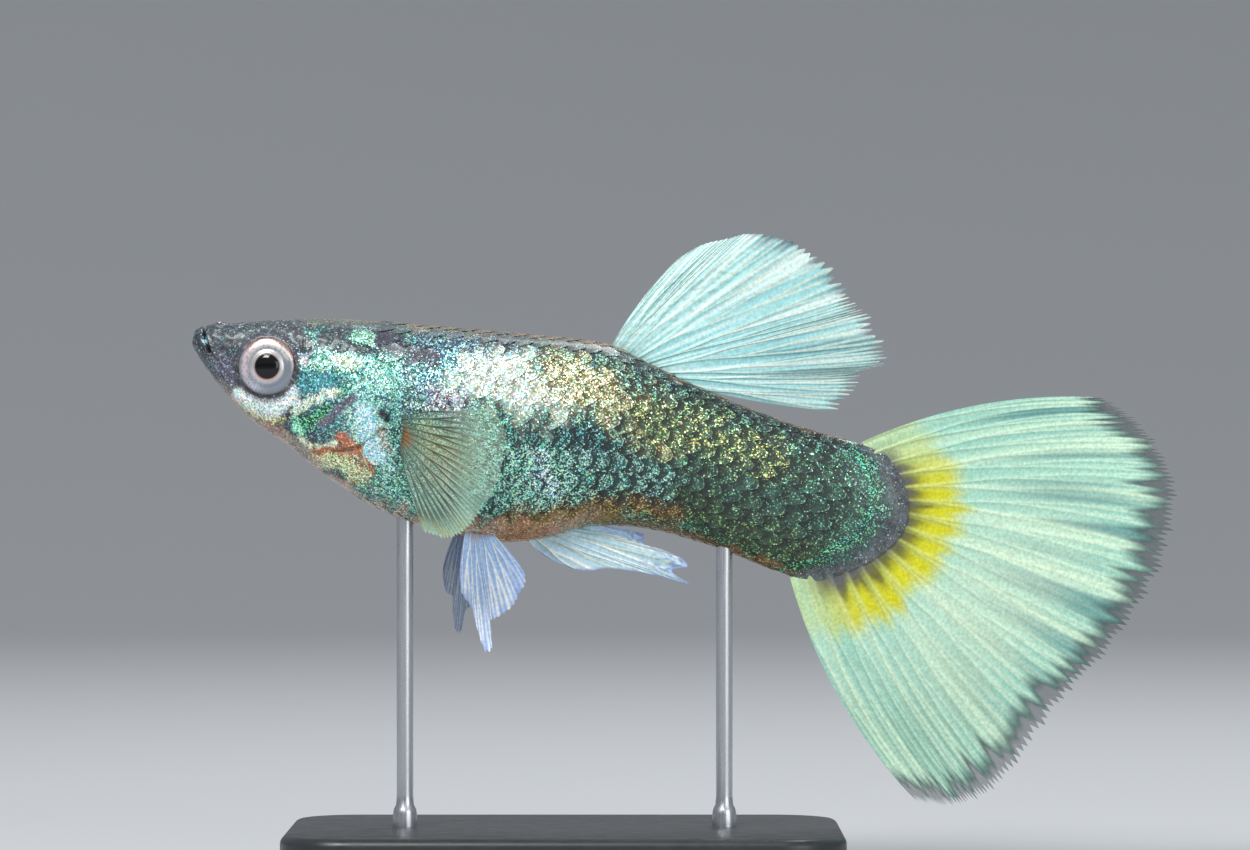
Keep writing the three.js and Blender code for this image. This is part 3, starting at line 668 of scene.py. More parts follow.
# %% [markdown]
# ## The scales
# Scales are thin plates rooted in the skin, each lapping the next two behind it like roof tiles. They could
# be painted, but then the back's edge would be smooth, and on a real guppy it shows tiny steps. So each one
# is a flattened tube of its own with a round, lifted rear edge, and all of them are worked out in a single
# array.

# %% Where the scales sit
SCALE_STEP = 0.385  # from one column to the next, which sits between its scales
SCALE_ROWS = 26
SCALES_FROM = 4.6
SCALES_TO = 28.8
FLANK_FROM = 8.2  # scales behind the gill start here
NAPE_FROM, NAPE_HEIGHT = 7.4, 0.62  # those on the nape start here, above this share of the back's height
SCALE_COLUMNS = 90  # more than fit, and those past the last station are dropped
PATCH = 0.003  # a scale's own place on the flat map


def scale_roots():
    """Station and angle of each scale's root, in columns that hold the even and the odd rows by turns."""
    column, pair = np.meshgrid(np.arange(SCALE_COLUMNS), np.arange(SCALE_ROWS // 2), indexing="ij")
    s = SCALES_FROM + SCALE_STEP * column
    angle = 2 * np.pi * (2 * pair + column % 2 + 0.5) / SCALE_ROWS
    s, angle = s.ravel(), angle.ravel()
    x, _, z = np.moveaxis(body_point(s, angle), -1, 0)
    behind_gill = (np.hypot(x - GILL[0], z - GILL[1]) > GILL_RADIUS + 0.1) & (x > GILL[0])
    nape = (z > NAPE_HEIGHT * smooth(BACK, x)) & (x > NAPE_FROM)
    kept = ((behind_gill & (x > FLANK_FROM)) | nape) & (s < SCALES_TO)
    return s[kept], angle[kept]


# %% The scales as overlapping plates
ALONG_PLATE = np.array([0, 0.42, 0.74, 0.92, 1.0])
ACROSS_PLATE = np.array([-1, -0.76, -0.28, 0.28, 0.76, 1])
PLATE_COLUMNS = len(ACROSS_PLATE)
PLATE_LENGTH = 3.0 * SCALE_STEP
PLATE_SPREAD = 0.64 * 2 * np.pi / SCALE_ROWS
MARK_PULL = 0.35  # how far a plate's colours are drawn to those at its middle


def scale_coat(name, left):
    """Plates on one side of the fish.

    Along the plate t runs from its root to its edge and c runs across it. The edge is round: its reach is 1
    - 0.4 c^2.2. The top lifts as t^1.4, and the underside is the top less a thickness of 0.012 + 0.018 t.
    The root, lapped by the plate in front, is darkened as painted shade, a dark line runs just inside the
    rear edge, and the edge itself is bright.
    """
    rng = np.random.default_rng(11)
    s0, a0 = scale_roots()
    lift = rng.uniform(0.8, 1.15, len(s0))
    tone = rng.uniform(0.8, 1.2, len(s0))
    stray = rng.normal(0, 0.2, len(s0))
    kept = (np.sin(a0) < 0) == left
    s0, a0, lift, tone, stray = (v[kept][:, None, None] for v in (s0, a0, lift, tone, stray))
    t = ALONG_PLATE[None, :, None]
    ring = np.concatenate([ACROSS_PLATE, ACROSS_PLATE[::-1]])[None, None, :]
    under = np.concatenate([np.zeros(PLATE_COLUMNS), np.ones(PLATE_COLUMNS)])[None, None, :]
    reach = 1 - 0.4 * np.abs(ring) ** 2.2
    s = s0 + PLATE_LENGTH * t * reach
    angle = a0 + PLATE_SPREAD * ring * (0.82 + 0.18 * np.sin(np.pi * t))
    height = 0.008 + 0.052 * lift * t**1.4 - 0.008 * ring**2 - under * (0.012 + 0.018 * t)
    points = body_point(s, angle, COAT) + body_normal(s, angle, COAT) * height[..., None]
    x, _, z = np.moveaxis(points, -1, 0)
    centre_x, _, centre_z = np.moveaxis(body_point(s0 + 1.9 * SCALE_STEP, a0), -1, 0)
    x = x + MARK_PULL * (centre_x + stray - x)
    z = z + MARK_PULL * (centre_z + stray - z)
    along = t * np.ones_like(x)
    tone = tone * np.ones_like(x)
    # painted shade: each plate's root, lapped by the plate in front, is darkened, with fewer and dimmer
    # glints
    pocket_shade = 1 - ease(along, 0.38, 0.66)
    edge = ease(along, 0.95, 0.99)
    inner = bump(along - 0.89, 0.05)
    flank = 0.2 + 0.7 * ease(x, 10.5, 14.5) + 0.5 * ease(x, 17, 21)
    flank = flank * ease(z - smooth(BELLY, x), 0.5, 1.6)
    # random tone per plate, with the painted shade at the root, a darker line inside the rear edge and a
    # brighter edge
    shade = 1 + flank * (tone * (1 - 0.5 * pocket_shade) * (1 - 0.35 * inner) * (1 + 0.6 * edge) - 1)
    fewer = flank * (0.3 * pocket_shade + 0.14 * inner - 0.04 * edge)
    bright = 1 - flank * (1 - tone**0.5 * (1 - 0.25 * pocket_shade) * (1 - 0.12 * inner))
    layers = mark_layers(x, z, s, shade, bright, fewer)
    count, rows, columns = x.shape
    quads, flat = tube_faces(rows, columns)
    quads = (quads[None] + rows * columns * np.arange(count)[:, None, None]).reshape(-1, 4)
    root = np.stack([s0[:, 0, 0] / SKIN_END, (a0[:, 0, 0] / (2 * np.pi)) % 1], -1)
    flat = (flat[None] * PATCH + root[:, None, None, :]).reshape(-1, 4, 2)
    print(count, "scales on this side")
    return piece(name, points, SKIN, ["trunk", "tail_stalk"], layers, 60, (quads, flat))


scale_coat("scales_left", True)
scale_coat("scales_right", False)

# %% [markdown]
# ## The eyes
# A fish's eye is a flat silver ring round a black lens that bulges through it. The look comes from depth: a
# raised rim, a ring that dips and a dome in the middle, all under one wet film. It is a profile turned
# about the eye's axis, with the ring's colours worked out from the distance and the direction at each
# place.

# %% Colours and form of an eye
PUPIL = 0.56
FRONT_ROWS = 76
REAR_ROWS = 14
EYE_RING = 160
EYE_OUT = 1.95  # from the middle of the head to the plane of the eye's rim
REAR_STEP, REAR_DEPTH = 0.13, 0.6  # where the ball's back starts from that plane, and how deep it is


def eye_profile(r):
    """How far the eye stands out at a distance r from its axis: a dome, a dip at the ring, and the lens."""
    dome = 0.34 * np.sqrt(np.maximum(1 - (r / 1.34) ** 2, 0))
    ring = -0.05 * bump(r - 0.78, 0.16) + 0.025 * bump(r - 0.62, 0.05)
    lens = np.where(r < PUPIL, 0.12 * np.sqrt(np.maximum(1 - (r / PUPIL) ** 2, 0)) - 0.02, 0)
    return dome + ring + lens


def eye_colours(r, turn):
    """A silver ring, paler inside, with gold flecks on its upper rim and a black pupil. A painted highlight
    whitens its top and its pink front, and painted shade turns its lower rear grey-blue and darkens its outer
    rim below.
    """
    x, z = r * np.cos(turn), r * np.sin(turn)
    grain = patches(x, z, 0.11, 3)
    up, front = np.sin(turn), -np.cos(turn)
    glare = ease(r, 0.8, 0.98) * (1 - ease(r, 1.1, 1.2))
    colour = np.zeros(r.shape + (3,)) + paint("a4a8b2")
    washes = (
        (0.35 + 0.35 * patches(x, z, 0.6, 6), "c4c6ce"),
        (0.4 * ease(grain, -0.6, 0.8), "dcdde4"),
        # painted highlight: the outer band whitened at the top, and at the front with the ring's own pink
        (glare * ease(up + 0.2 * front, -0.1, 0.6), "fff8f2"),
        (glare * ease(front - 0.4 * np.abs(up), 0.3, 0.8) * 0.9, "f6dfe6"),
        (glare * ease(-up - 0.3 * front, 0.4, 0.9) * ease(grain, -0.5, 0.6) * 0.8, "e4def4"),
        # painted shade: the lower rear of the ring turned grey-blue
        (ease(-front - 0.6 * up, 0.2, 0.9) * ease(r, 0.66, 0.85) * 0.8, "717f8a"),
        (bump(r - 0.66, 0.07) * 0.85, "dfdcd9"),
        (bump(r - 0.84, 0.05) * 0.3, "8f919a"),
        (0.5 * ease(patches(x, z, 0.2, 7), 0.2, 0.9) * ease(r, 0.7, 0.8), "8c8f98"),
        (bump(r - (PUPIL + 0.025), 0.022) * (0.35 - 0.65 * up), "c24a24"),
        (bump(r - (PUPIL + 0.03), 0.02) * (0.3 + 0.5 * up), "b79a6a"),
        (ease(r, 1.1, 1.17) * ease(up - 0.2 * front, 0.0, 0.5) * (0.55 + 0.6 * grain), "b0703a"),
        # a dark grey outer rim, heavier below as painted shade
        (ease(r, 1.17, 1.27) * (0.6 - 0.25 * up), "55525a"),
        (1 - ease(r, PUPIL - 0.015, PUPIL + 0.01), "020203"),
    )
    for weight, code in washes:
        colour = blended(colour, weight, code)
    return np.concatenate([colour, np.ones(r.shape + (1,))], -1)


def eye_material():
    """The ring's colours, the paler the more like silver, with a fine grain under a clear wet coat."""
    material, tree, shader = new_material("wet_eye")
    link = tree.links.new
    tint = node(tree, "Attribute", attribute_name="tint")
    link(tint.outputs["Color"], shader.inputs["Base Color"])
    light = node(tree, "RGBToBW")
    link(tint.outputs["Color"], light.inputs["Color"])
    link(eased_output(tree, light.outputs["Val"], 0.02, 0.5, 0.0, 0.65), shader.inputs["Metallic"])
    link(eased_output(tree, light.outputs["Val"], 0.02, 0.5, 0.12, 0.3), shader.inputs["Roughness"])
    grain = pattern(tree, "TexNoise", Scale=22000.0, Detail=3.0)
    ripple(tree, shader, grain.outputs["Fac"], 0.2, 0.00001)
    preset(shader, Coat_Weight=0.5, Coat_Roughness=0.05, Specular_IOR_Level=0.25)
    return material


WET_EYE = eye_material()


def eye_ball(name, side, cad_node):
    """The front is the profile, and behind the rim the ball closes inside the head."""
    front = EYE_RADIUS * np.sin(np.linspace(0.004, np.pi / 2, FRONT_ROWS))
    rear_turn = np.linspace(0.12, np.pi / 2 - 0.02, REAR_ROWS)
    r = np.concatenate([front, EYE_RADIUS * np.cos(rear_turn)])[:, None]
    turn = (2 * np.pi * (np.arange(EYE_RING) + 0.5) / EYE_RING)[None, :]
    out = np.concatenate([eye_profile(front), REAR_STEP - REAR_DEPTH * np.sin(rear_turn)])[:, None]
    r, turn = np.broadcast_arrays(r, turn)
    x = EYE[0] + r * np.cos(turn)
    z = EYE[2] + r * np.sin(turn)
    lean = 0.1 * (x - EYE[0])
    points = np.stack([x, side * (EYE_OUT + out + lean), z], -1)
    return piece(name, points, WET_EYE, [cad_node], {"tint": eye_colours(r, turn)}, 80)


eye_ball("eyeball_left", -1, "eye_left")
eye_ball("eyeball_right", 1, "eye_right")

# %% [markdown]
# ## How a fin is built
# A fin is a membrane stretched on bony rays, and each ray forks again and again towards the edge, as a twig
# does. Painting that is hard, but one small formula folds it out: the distance to the nearest ray is taken,
# a growing offset is subtracted, and the size of what is left is the distance to the nearest of two
# branches. Doing it three times gives eight. The same number raises the ray, colours it and lets its tip
# stand past the torn membrane.

# %% Rays and the fin's sheet
WEAR_STEPS = 150  # random values along a worn edge


def branch_distance(u, v, rays, forks):
    """How far a place is from the nearest branch, as a share of the space between two main rays.

    u runs along the fin and v across it. Each fork is (where it starts, where it is full, its offset).
    """
    across = v * (rays - 1)
    away = np.abs(across - np.round(across))
    for start, full, offset in forks:
        away = np.abs(away - offset * ease(u, start, full))
    return away


def fin_sheet(fin, root, depth, rows, columns):
    """Points, reach, v and branch distance of a fin as a flattened tube.

    A place on the middle surface is root + (tip - root) u, bowed outwards by 4 u (1 - u), and each face
    stands off it by half the thickness. The edge is torn: a ray reaches its full length, and the membrane
    between less.
    """
    u = np.linspace(0, 1, rows)[:, None]
    v = np.linspace(0, 1, columns)[None, :]
    u, v = np.broadcast_arrays(u, v)
    tips = np.array(fin["tips"], float)
    index = np.arange(len(tips))
    tip_x, tip_z = (smooth(np.stack([index, tips[:, k]], -1), v * (len(tips) - 1), False) for k in range(2))
    rng = np.random.default_rng(fin["seed"])
    ends = branch_distance(np.ones_like(v), v, fin["rays"], fin["forks"])
    width = fin["forks"][-1][2]
    worn = np.interp(v[0], np.linspace(0, 1, WEAR_STEPS), rng.uniform(0, 1, WEAR_STEPS))[None, :]
    torn = fin["torn"](v) * (0.25 + 0.75 * np.clip(ends / width, 0, 1) + 0.5 * worn)
    reach = u * (1 - torn * ease(u, 0.5, 1))
    rx, ry, rz = np.moveaxis(root(v), -1, 0)
    run_x, run_z = tip_x - rx, tip_z - rz
    length = np.hypot(run_x, run_z)
    bow = fin["bend"] * 4 * reach * (1 - reach) * (1 - 2 * v)
    x = rx + run_x * reach - run_z / length * bow
    z = rz + run_z * reach + run_x / length * bow
    y = ry + depth(reach, v, length)
    middle = np.stack([x, y, z], -1)
    along = np.gradient(middle, axis=0)
    across = np.gradient(middle, axis=1)
    normal = np.cross(along, across)
    normal /= np.linalg.norm(normal, axis=-1, keepdims=True) + 1e-12
    away = branch_distance(reach, v, fin["rays"], fin["forks"])
    ray = bump(away, fin["ray_width"] * (1 - 0.55 * reach))
    half = fin["membrane"] * (1 - 0.6 * u) + fin["ray_rise"] * ray * (1 - 0.6 * reach)
    half = half * (1 - 0.75 * ease(u, 0.94, 1))
    rise = normal * half[..., None]
    points = np.concatenate([middle + rise, (middle - rise)[:, ::-1]], 1)
    return points, reach, v, away


# %% [markdown]
# ## What a fin is made of
# The membrane is clear like wet paper, and its colour lies in fine grains along the rays. The colours come
# from the place on the fin, so they are worked out with the shape and kept in the mesh. The material adds
# the grain, a soft light let through from behind and a satin shine.

# %% Material of the fins and the washes on them


def fin_material():
    """The fin's own colours, scaled by a fine grain, and clear where their alpha is low."""
    material, tree, shader = new_material("fin_membrane")
    link = tree.links.new
    tint = node(tree, "Attribute", attribute_name="tint")
    grain = pattern(tree, "TexNoise", Scale=7000.0, Detail=4.0, Roughness=0.65).outputs["Fac"]
    amount = eased_output(tree, grain, 0.3, 0.7, 0.82, 1.12)
    link(scaled(tree, tint.outputs["Color"], amount), shader.inputs["Base Color"])
    link(tint.outputs["Alpha"], shader.inputs["Alpha"])
    link(eased_output(tree, grain, 0.3, 0.7, 0.34, 0.5), shader.inputs["Roughness"])
    ripple(tree, shader, grain, 0.15, 0.00002)
    preset(shader, Coat_Weight=0.2, Coat_Roughness=0.2)
    return material


FIN = fin_material()


class Tint:
    """A colour for every place of a fin, laid on in washes, with how solid it is in the fourth number."""

    def __init__(self, shape, code, solid):
        self.colour = np.zeros(shape + (3,)) + paint(code)
        self.solid = np.full(shape, float(solid))

    def wash(self, weight, code, solid=None):
        """Moves the colour, and the solidity where one is given, by the weight of each place."""
        self.colour = blended(self.colour, weight, code)
        if solid is not None:
            self.solid = self.solid + (solid - self.solid) * np.clip(weight, 0, 1)

    def layer(self):
        """The middle surface's values for both faces, in the order of the tube's ring."""
        values = np.concatenate([self.colour, self.solid[..., None]], -1)
        return {"tint": np.concatenate([values, values[:, ::-1]], 1)}


def waves(u, v):
    """How a fin waves to the side along u and across v: u^1.5 sin(pi (2.2 v + 0.6 u))."""
    return u**1.5 * np.sin(np.pi * (2.2 * v + 0.6 * u))


# %% [markdown]
# ## The tail fin
# The fan is pale mint with cream rays. A yellow crescent with dark ray bases lies at its root, cool streaks
# run along its upper half, and a broken dark line follows the edge, just inside a ragged, glassy fringe.

# %% The tail fin
TAIL_ROOT = 30.35
TAIL_FORKS = [(0.1, 0.42, 0.25), (0.34, 0.7, 0.125), (0.62, 0.95, 0.0625)]
TAIL = {
    "tips": [
        [40.8, 7.7], [42.8, 6.8], [44.7, 4.7], [45, 1.3], [43.9, -2.7], [42.1, -6.4],
        [40.5, -10.4], [39, -11.9], [37, -12.2],
    ],
    "bend": 0.75, "rays": 16, "forks": TAIL_FORKS, "ray_width": 0.12, "membrane": 0.04, "ray_rise": 0.048,
    "torn": lambda v: 0.045, "seed": 21,
}


def tail_root(v):
    """Round the bowed end of the stalk, a little inside the skin, and v is the share of its height."""
    points = body_point(np.full_like(v, TAIL_ROOT), np.arccos(np.clip(1 - 2 * v, -1, 1)))
    points[..., 1] = 0
    return points


def tail_depth(u, v, length):
    """The fan waves by up to 0.7 mm to the side."""
    return 0.7 * waves(u, v)


def tail_fin():
    """Mint and cream, then cool streaks, the yellow crescent, the slate at its root and the frayed edge."""
    points, u, v, away = fin_sheet(TAIL, tail_root, tail_depth, 96, 481)
    across = v * (TAIL["rays"] - 1)
    between = ease(np.abs(across - np.round(across)), 0.1, 0.32)
    tint = Tint(u.shape, "a3d8c4", 0.97)
    tint.wash(0.8 * ease(patches(v * 60, u * 1.8, 3.4, 31), -0.3, 0.9), "cdeed0")
    tint.wash(0.42 * (1 - ease(away, 0.006, 0.04)) * ease(u, 0.1, 0.3), "eef6d8")
    tint.wash(0.22 * ease(away, 0.03, 0.07) * ease(u, 0.15, 0.4), "79b4a6")
    upper = (1 - ease(v, 0.4, 0.8)) * ease(u, 0.3, 0.65)
    tint.wash(0.85 * ease(patches(v * 70, u * 1.3, 4.0, 32), 0.0, 0.8) * upper, "58918f")
    lower = ease(v, 0.3, 0.6) * ease(u, 0.4, 0.7)
    tint.wash(0.5 * ease(patches(v * 90, u * 2, 3.0, 33), 0.2, 0.9) * lower, "7cae96")
    tint.wash(0.35 * bump(v - 0.55, 0.25) * ease(u, 0.15, 0.4) * (1 - ease(u, 0.6, 0.85)), "e6f2d2")
    reach = u - 0.05 * np.sin(np.pi * v) + 0.018 * patches(v * 45, u * 2, 2.5, 34)
    middle = ease(v, 0.0, 0.28) * (1 - ease(v, 0.8, 1.0))
    crescent = 1 - ease(reach, 0.17, 0.27)
    tint.wash(crescent * (0.25 + 0.75 * middle) * (0.8 + 0.2 * between), "d4d20e")
    tint.wash(crescent * (1 - between) * 0.25, "c8cc50")
    tint.wash((1 - ease(reach, 0.06, 0.14)) * (0.2 + 0.6 * between) * middle, "66681a")
    tint.wash((1 - ease(reach, 0.05, 0.1)) * (0.3 + 0.4 * between) * middle, "5c5a34")
    inside = ease(v, 0.02, 0.16) * (1 - ease(v, 0.84, 0.97))
    tint.wash((1 - ease(u + 0.014 * patches(v * 40, u, 2.0, 38), 0.05, 0.12)) * inside, "5c5e60")
    fray = 0.885 + 0.035 * patches(v * 110, u * 2, 2.4, 35) + 0.02 * patches(v * 30, u, 2.5, 37)
    tint.wash(0.75 * ease(u, fray - 0.05, fray + 0.02), "3d5c5c")
    tint.wash(ease(u, fray + 0.005, fray + 0.06), "4a5759", 0.36)
    tint.wash(ease(u, 0.97, 0.995), "202a2c", 0.75)
    return piece("tail_fan", points, FIN, ["caudal_fin"], tint.layer(), 60)


tail_fin()

# %% [markdown]
# ## The back fin
# It stands tall and sweeps back, pale aqua with cream and dark hair-thin lines by the rays. Its rear edge
# is worn to a comb: the ray tips stand free, and they are navy.

# %% The back fin
BACK_FIN = {
    "tips": [
        [20.4, 9.05], [21.25, 9.85], [22.3, 10.4], [23.2, 10.85], [24.9, 11.05], [26.7, 10.8], [28.5, 9.85],
        [29.2, 9.2], [29.8, 8.8], [30.9, 7.7], [31.1, 6.9], [30.1, 6.2], [30.0, 5.4], [29.3, 4.1],
    ],
    "bend": 0.22, "rays": 9, "forks": [(0.12, 0.4, 0.25), (0.3, 0.65, 0.125), (0.55, 0.9, 0.0625)],
    "ray_width": 0.12, "membrane": 0.04, "ray_rise": 0.055,
    "torn": lambda v: 0.01 + 0.09 * ease(v, 0.25, 0.5), "seed": 22,
}
BACK_FIN_ROOT = (18.3, 21.3)


def along_back(v):
    """From the first ray's foot to the last one's, sunk under the skin of the back."""
    x = BACK_FIN_ROOT[0] + (BACK_FIN_ROOT[1] - BACK_FIN_ROOT[0]) * v
    return np.stack([x, np.zeros_like(x), smooth(BACK, x) - 0.35], -1)


def back_fin_depth(u, v, length):
    """It leans 0.5 u^2 to the right and waves by up to 0.5 mm."""
    return 0.5 * u**2 + 0.5 * waves(u, v)


def back_fin():
    """Aqua clouds, cream rays with a dark line on each side, olive specks in front and a navy rear edge."""
    points, u, v, away = fin_sheet(BACK_FIN, along_back, back_fin_depth, 84, 321)
    tint = Tint(u.shape, "9ed8da", 0.96)
    tint.wash(0.85 * ease(patches(v * 50, u * 2, 3.0, 41), -0.3, 0.9), "dcf6f2")
    tint.wash(0.5 * ease(patches(v * 80, u * 1.5, 3.0, 45), 0.2, 0.9) * ease(u, 0.3, 0.6), "6aa6b0")
    tint.wash(0.65 * (1 - ease(away, 0.0, 0.035)), "f3f3d8")
    side_line = bump(np.abs(away) - 0.055, 0.016) * ease(patches(v * 40, u * 1.5, 3, 42), -0.2, 0.6)
    tint.wash(0.75 * side_line, "3f6468")
    foremost = (1 - ease(v, 0.2, 0.5)) * (1 - ease(u, 0.6, 0.9))
    tint.wash(0.4 * foremost * ease(patches(v * 60, u * 22, 1.6, 43), 0.35, 0.8), "8c8f5a")
    worn = ease(v, 0.15, 0.4)
    broken = ease(patches(v * 90, u * 3, 2.4, 44), -0.5, 0.5)
    tint.wash(ease(u, 0.84, 0.97) * (0.25 + 0.6 * worn) * broken, "2e4a66")
    tint.wash(ease(u, 0.95, 1) * worn, "1f2c44", 0.85)
    tint.wash((1 - ease(u, 0.0, 0.09)) * 0.6, "5d7f78")
    return piece("back_fin", points, FIN, ["dorsal_fin"], tint.layer(), 60)


back_fin()

# %% [markdown]
# ## The belly fin of a male
# In a male this fin is drawn out into a narrow, pointed blade with a forked tip: blue-white, with cream
# stripes and a dusting of dark blue towards its end.

# %% The belly fin
BELLY_FIN = {
    "tips": [
        [18.3, -5.65], [19.1, -5.8], [19.85, -5.75], [20.8, -5.4], [22.2, -5.2], [23.5, -5.15], [24.5, -5.15],
        [23.6, -4.8], [24.25, -4.4], [23.8, -4.1], [23.0, -4.0], [22.4, -4.05], [22.05, -3.85], [21.95, -3.5],
    ],
    "bend": -0.15, "rays": 8, "forks": [(0.3, 0.7, 0.25)], "ray_width": 0.16, "membrane": 0.04,
    "ray_rise": 0.07, "torn": lambda v: 0.015, "seed": 23,
}
BELLY_FIN_ROOT = (16.7, 18.3)


def along_belly(v):
    """From the first ray's foot to the last one's, sunk into the belly."""
    x = BELLY_FIN_ROOT[0] + (BELLY_FIN_ROOT[1] - BELLY_FIN_ROOT[0]) * v
    return np.stack([x, np.zeros_like(x), smooth(BELLY, x) + 0.4], -1)


def belly_fin():
    """Blue-white with cream rays, a bluer rim, a dark blue dusting at the tip and a warm root."""

    def depth(u, v, length):
        return 0.2 * waves(u, v)

    points, u, v, away = fin_sheet(BELLY_FIN, along_belly, depth, 70, 141)
    tint = Tint(u.shape, "bcdcea", 0.97)
    tint.wash(0.9 * (1 - ease(away, 0.02, 0.12)), "fffbea")
    tint.wash(0.5 * ease(patches(v * 26, u * 2.0, 3, 51), 0.1, 0.8), "93b4a8")
    tint.wash(0.6 * (bump(v, 0.08) + bump(v - 1, 0.08)) * ease(u, 0.3, 0.6), "7fa8ec")
    tip = ease(u, 0.62, 0.9) * ease(v, 0.2, 0.4)
    tint.wash(tip * ease(patches(v * 30, u * 26, 1.5, 52), -0.4, 0.9) * 0.6, "4a64ac")
    tint.wash(bump(u - 1, 0.05) * 0.8, "7f93d8", 0.9)
    tint.wash((1 - ease(u, 0.06, 0.16)) * 0.75, "a9824e")
    return piece("belly_fin", points, FIN, ["anal_fin"], tint.layer(), 60)


belly_fin()

# %% [markdown]
# ## The paired fins
# The breast fins are clear fans held out from the sides, with black rays and an orange spot at the root.
# The two pelvic fins hang below the belly like small blue-white brushes. Each is the same sheet with its
# own root and spread.

# %% The breast fins
BREAST_FIN = {
    "tips": [
        [14.1, 0.3], [14.9, -0.6], [15.1, -1.7], [15.1, -2.9], [14.8, -4.1], [14.3, -5.2],
        [13.6, -5.8], [12.5, -5.8],
    ],
    "bend": 0.1, "rays": 12, "forks": [(0.3, 0.6, 0.25), (0.55, 0.9, 0.125)], "ray_width": 0.15,
    "membrane": 0.025, "ray_rise": 0.06, "torn": lambda v: 0.01 + 0.03 * v, "seed": 24,
}
BREAST_ROOT = [[9.95, -1.1], [10.45, -2.45]]


def paired_root(ends, y, v):
    """A straight line across v between two [x, z] ends, at one distance from the middle."""
    first, last = np.array(ends)
    place = first + (last - first) * v[..., None]
    return np.stack([place[..., 0], np.full(v.shape, y), place[..., 1]], -1)


def paired_depth(u, v, length, splay, swell):
    """Held out by the tangent of the splay times the length, and swollen by u sin(pi (1.5 v + 0.3))."""
    return np.tan(np.radians(splay)) * length * u + swell * u * np.sin(np.pi * (1.5 * v + 0.3))


def breast_fin(name, side, cad_node):
    """A clear green fan with pale streaks low down, black rays and an orange spot at the root."""
    root_y = np.abs([corner[1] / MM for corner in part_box(cad_node)]).min() + 0.35

    def root(v):
        return paired_root(BREAST_ROOT, side * root_y, v)

    def depth(u, v, length):
        sunk = -0.95 * (1 - ease(u, 0.0, 0.22))
        return side * (paired_depth(u, v, length, 24, 0.25) + sunk)

    points, u, v, away = fin_sheet(BREAST_FIN, root, depth, 64, 265)
    tint = Tint(u.shape, "a9cdbb", 0.14)
    tint.wash(0.7 * ease(v, 0.35, 0.7) * ease(u, 0.4, 0.8), "8fd8c0", 0.26)
    tint.wash(0.6 * bump(v - 0.38, 0.22) * bump(u - 0.45, 0.25), "cfd08a", 0.3)
    tint.wash(0.6 * (1 - ease(away, 0.02, 0.06)) * ease(u, 0.35, 0.6), "cfe0c4", 0.3)
    streak = bump(away, 0.06) * ease(v, 0.62, 0.75)
    tint.wash(streak * 0.7, "c0e2b4", 0.75)
    tint.wash(streak * ease(patches(v * 30, u * 3, 2, 61), 0.2, 0.6) * 0.7, "d6b63c", 0.8)
    low_rays = ease(v, 0.45, 0.75)
    line = bump(away, 0.13) * (1 - ease(u, 0.45 + 0.25 * low_rays, 0.9 + 0.2 * low_rays))
    tint.wash(line * 0.98, "0f1214", 0.97)
    tint.wash((1 - ease(np.hypot(u * 1.4, (v - 0.5) * 0.8), 0.1, 0.3)) * 0.85, "a5621c", 0.85)
    tint.wash((1 - ease(u, 0.02, 0.1)) * 0.8, "4f4438", 0.95)
    return piece(name, points, FIN, [cad_node], tint.layer(), 60)


breast_fin("breast_fin_left", -1, "pectoral_fin_left")
breast_fin("breast_fin_right", 1, "pectoral_fin_right")

# %% The pelvic fins
PELVIC = {
    "left": {
        "tips": [
            [14.45, -7.6], [14.75, -8.2], [15.25, -8.6], [15.75, -9.45], [16.35, -10.35], [16.65, -10.2],
            [16.4, -9.5], [16.25, -9.0], [16.45, -8.85], [16.8, -8.5], [17.1, -8.05], [17.2, -7.5],
            [17.35, -7.0], [17.2, -6.5],
        ],
        "root": [[14.15, -5.15], [15, -5.0]], "splay": 16, "grey": 0.0, "seed": 25,
    },
    "right": {
        "tips": [
            [13.5, -7.4], [13.6, -7.8], [13.9, -8.4], [14.25, -8.55], [14.4, -9.2], [14.75, -10.05],
            [15.0, -10.0], [14.95, -9.1], [15.15, -8.7], [15.2, -8.1], [15.2, -7.4],
        ],
        # the far-side fin's grey share is painted shade
        "root": [[13.75, -5.2], [14.35, -5.15]], "splay": 26, "grey": 0.55, "seed": 26,
    },
}
PELVIC_SHARED = {
    "bend": -0.1, "rays": 7, "forks": [(0.15, 0.45, 0.25), (0.4, 0.8, 0.125)], "ray_width": 0.17,
    "membrane": 0.03, "ray_rise": 0.07, "torn": lambda v: 0.03,
}
PELVIC_Y = 0.62


def pelvic_fin(which, side):
    """White rays on pale blue with bluer edges, and painted shade greys the far side, as in the photo."""
    fin = {**PELVIC_SHARED, **PELVIC[which]}

    def root(v):
        return paired_root(fin["root"], side * PELVIC_Y, v)

    def depth(u, v, length):
        return side * paired_depth(u, v, length, fin["splay"], 0.12)

    points, u, v, away = fin_sheet(fin, root, depth, 60, 121)
    tint = Tint(u.shape, "a6c8f0", 0.93)
    tint.wash(0.95 * (1 - ease(away, 0.02, 0.11)), "ffffff")
    tint.wash(0.4 * ease(patches(v * 20, u * 3, 3, 71), 0, 0.8), "86aee6")
    edge = np.maximum(1 - ease(v, 0.0, 0.14), ease(v, 0.72, 0.95))
    tint.wash(edge * ease(u, 0.25, 0.6) * 0.4, "7fa4ea")
    tint.wash(ease(u, 0.82, 1) * ease(patches(v * 24, u * 4, 2, 72), -0.3, 0.5) * 0.5, "5f86dc")
    # painted shade: the far-side fin washed grey by its share
    tint.wash(np.full(u.shape, fin["grey"]), "7c8598", 0.9)
    tint.wash((1 - ease(u, 0.04, 0.2)) * 0.7, "b9a49a")
    name = "pelvic_brush_" + which
    return piece(name, points, FIN, ["pelvic_fin_" + which], tint.layer(), 60)


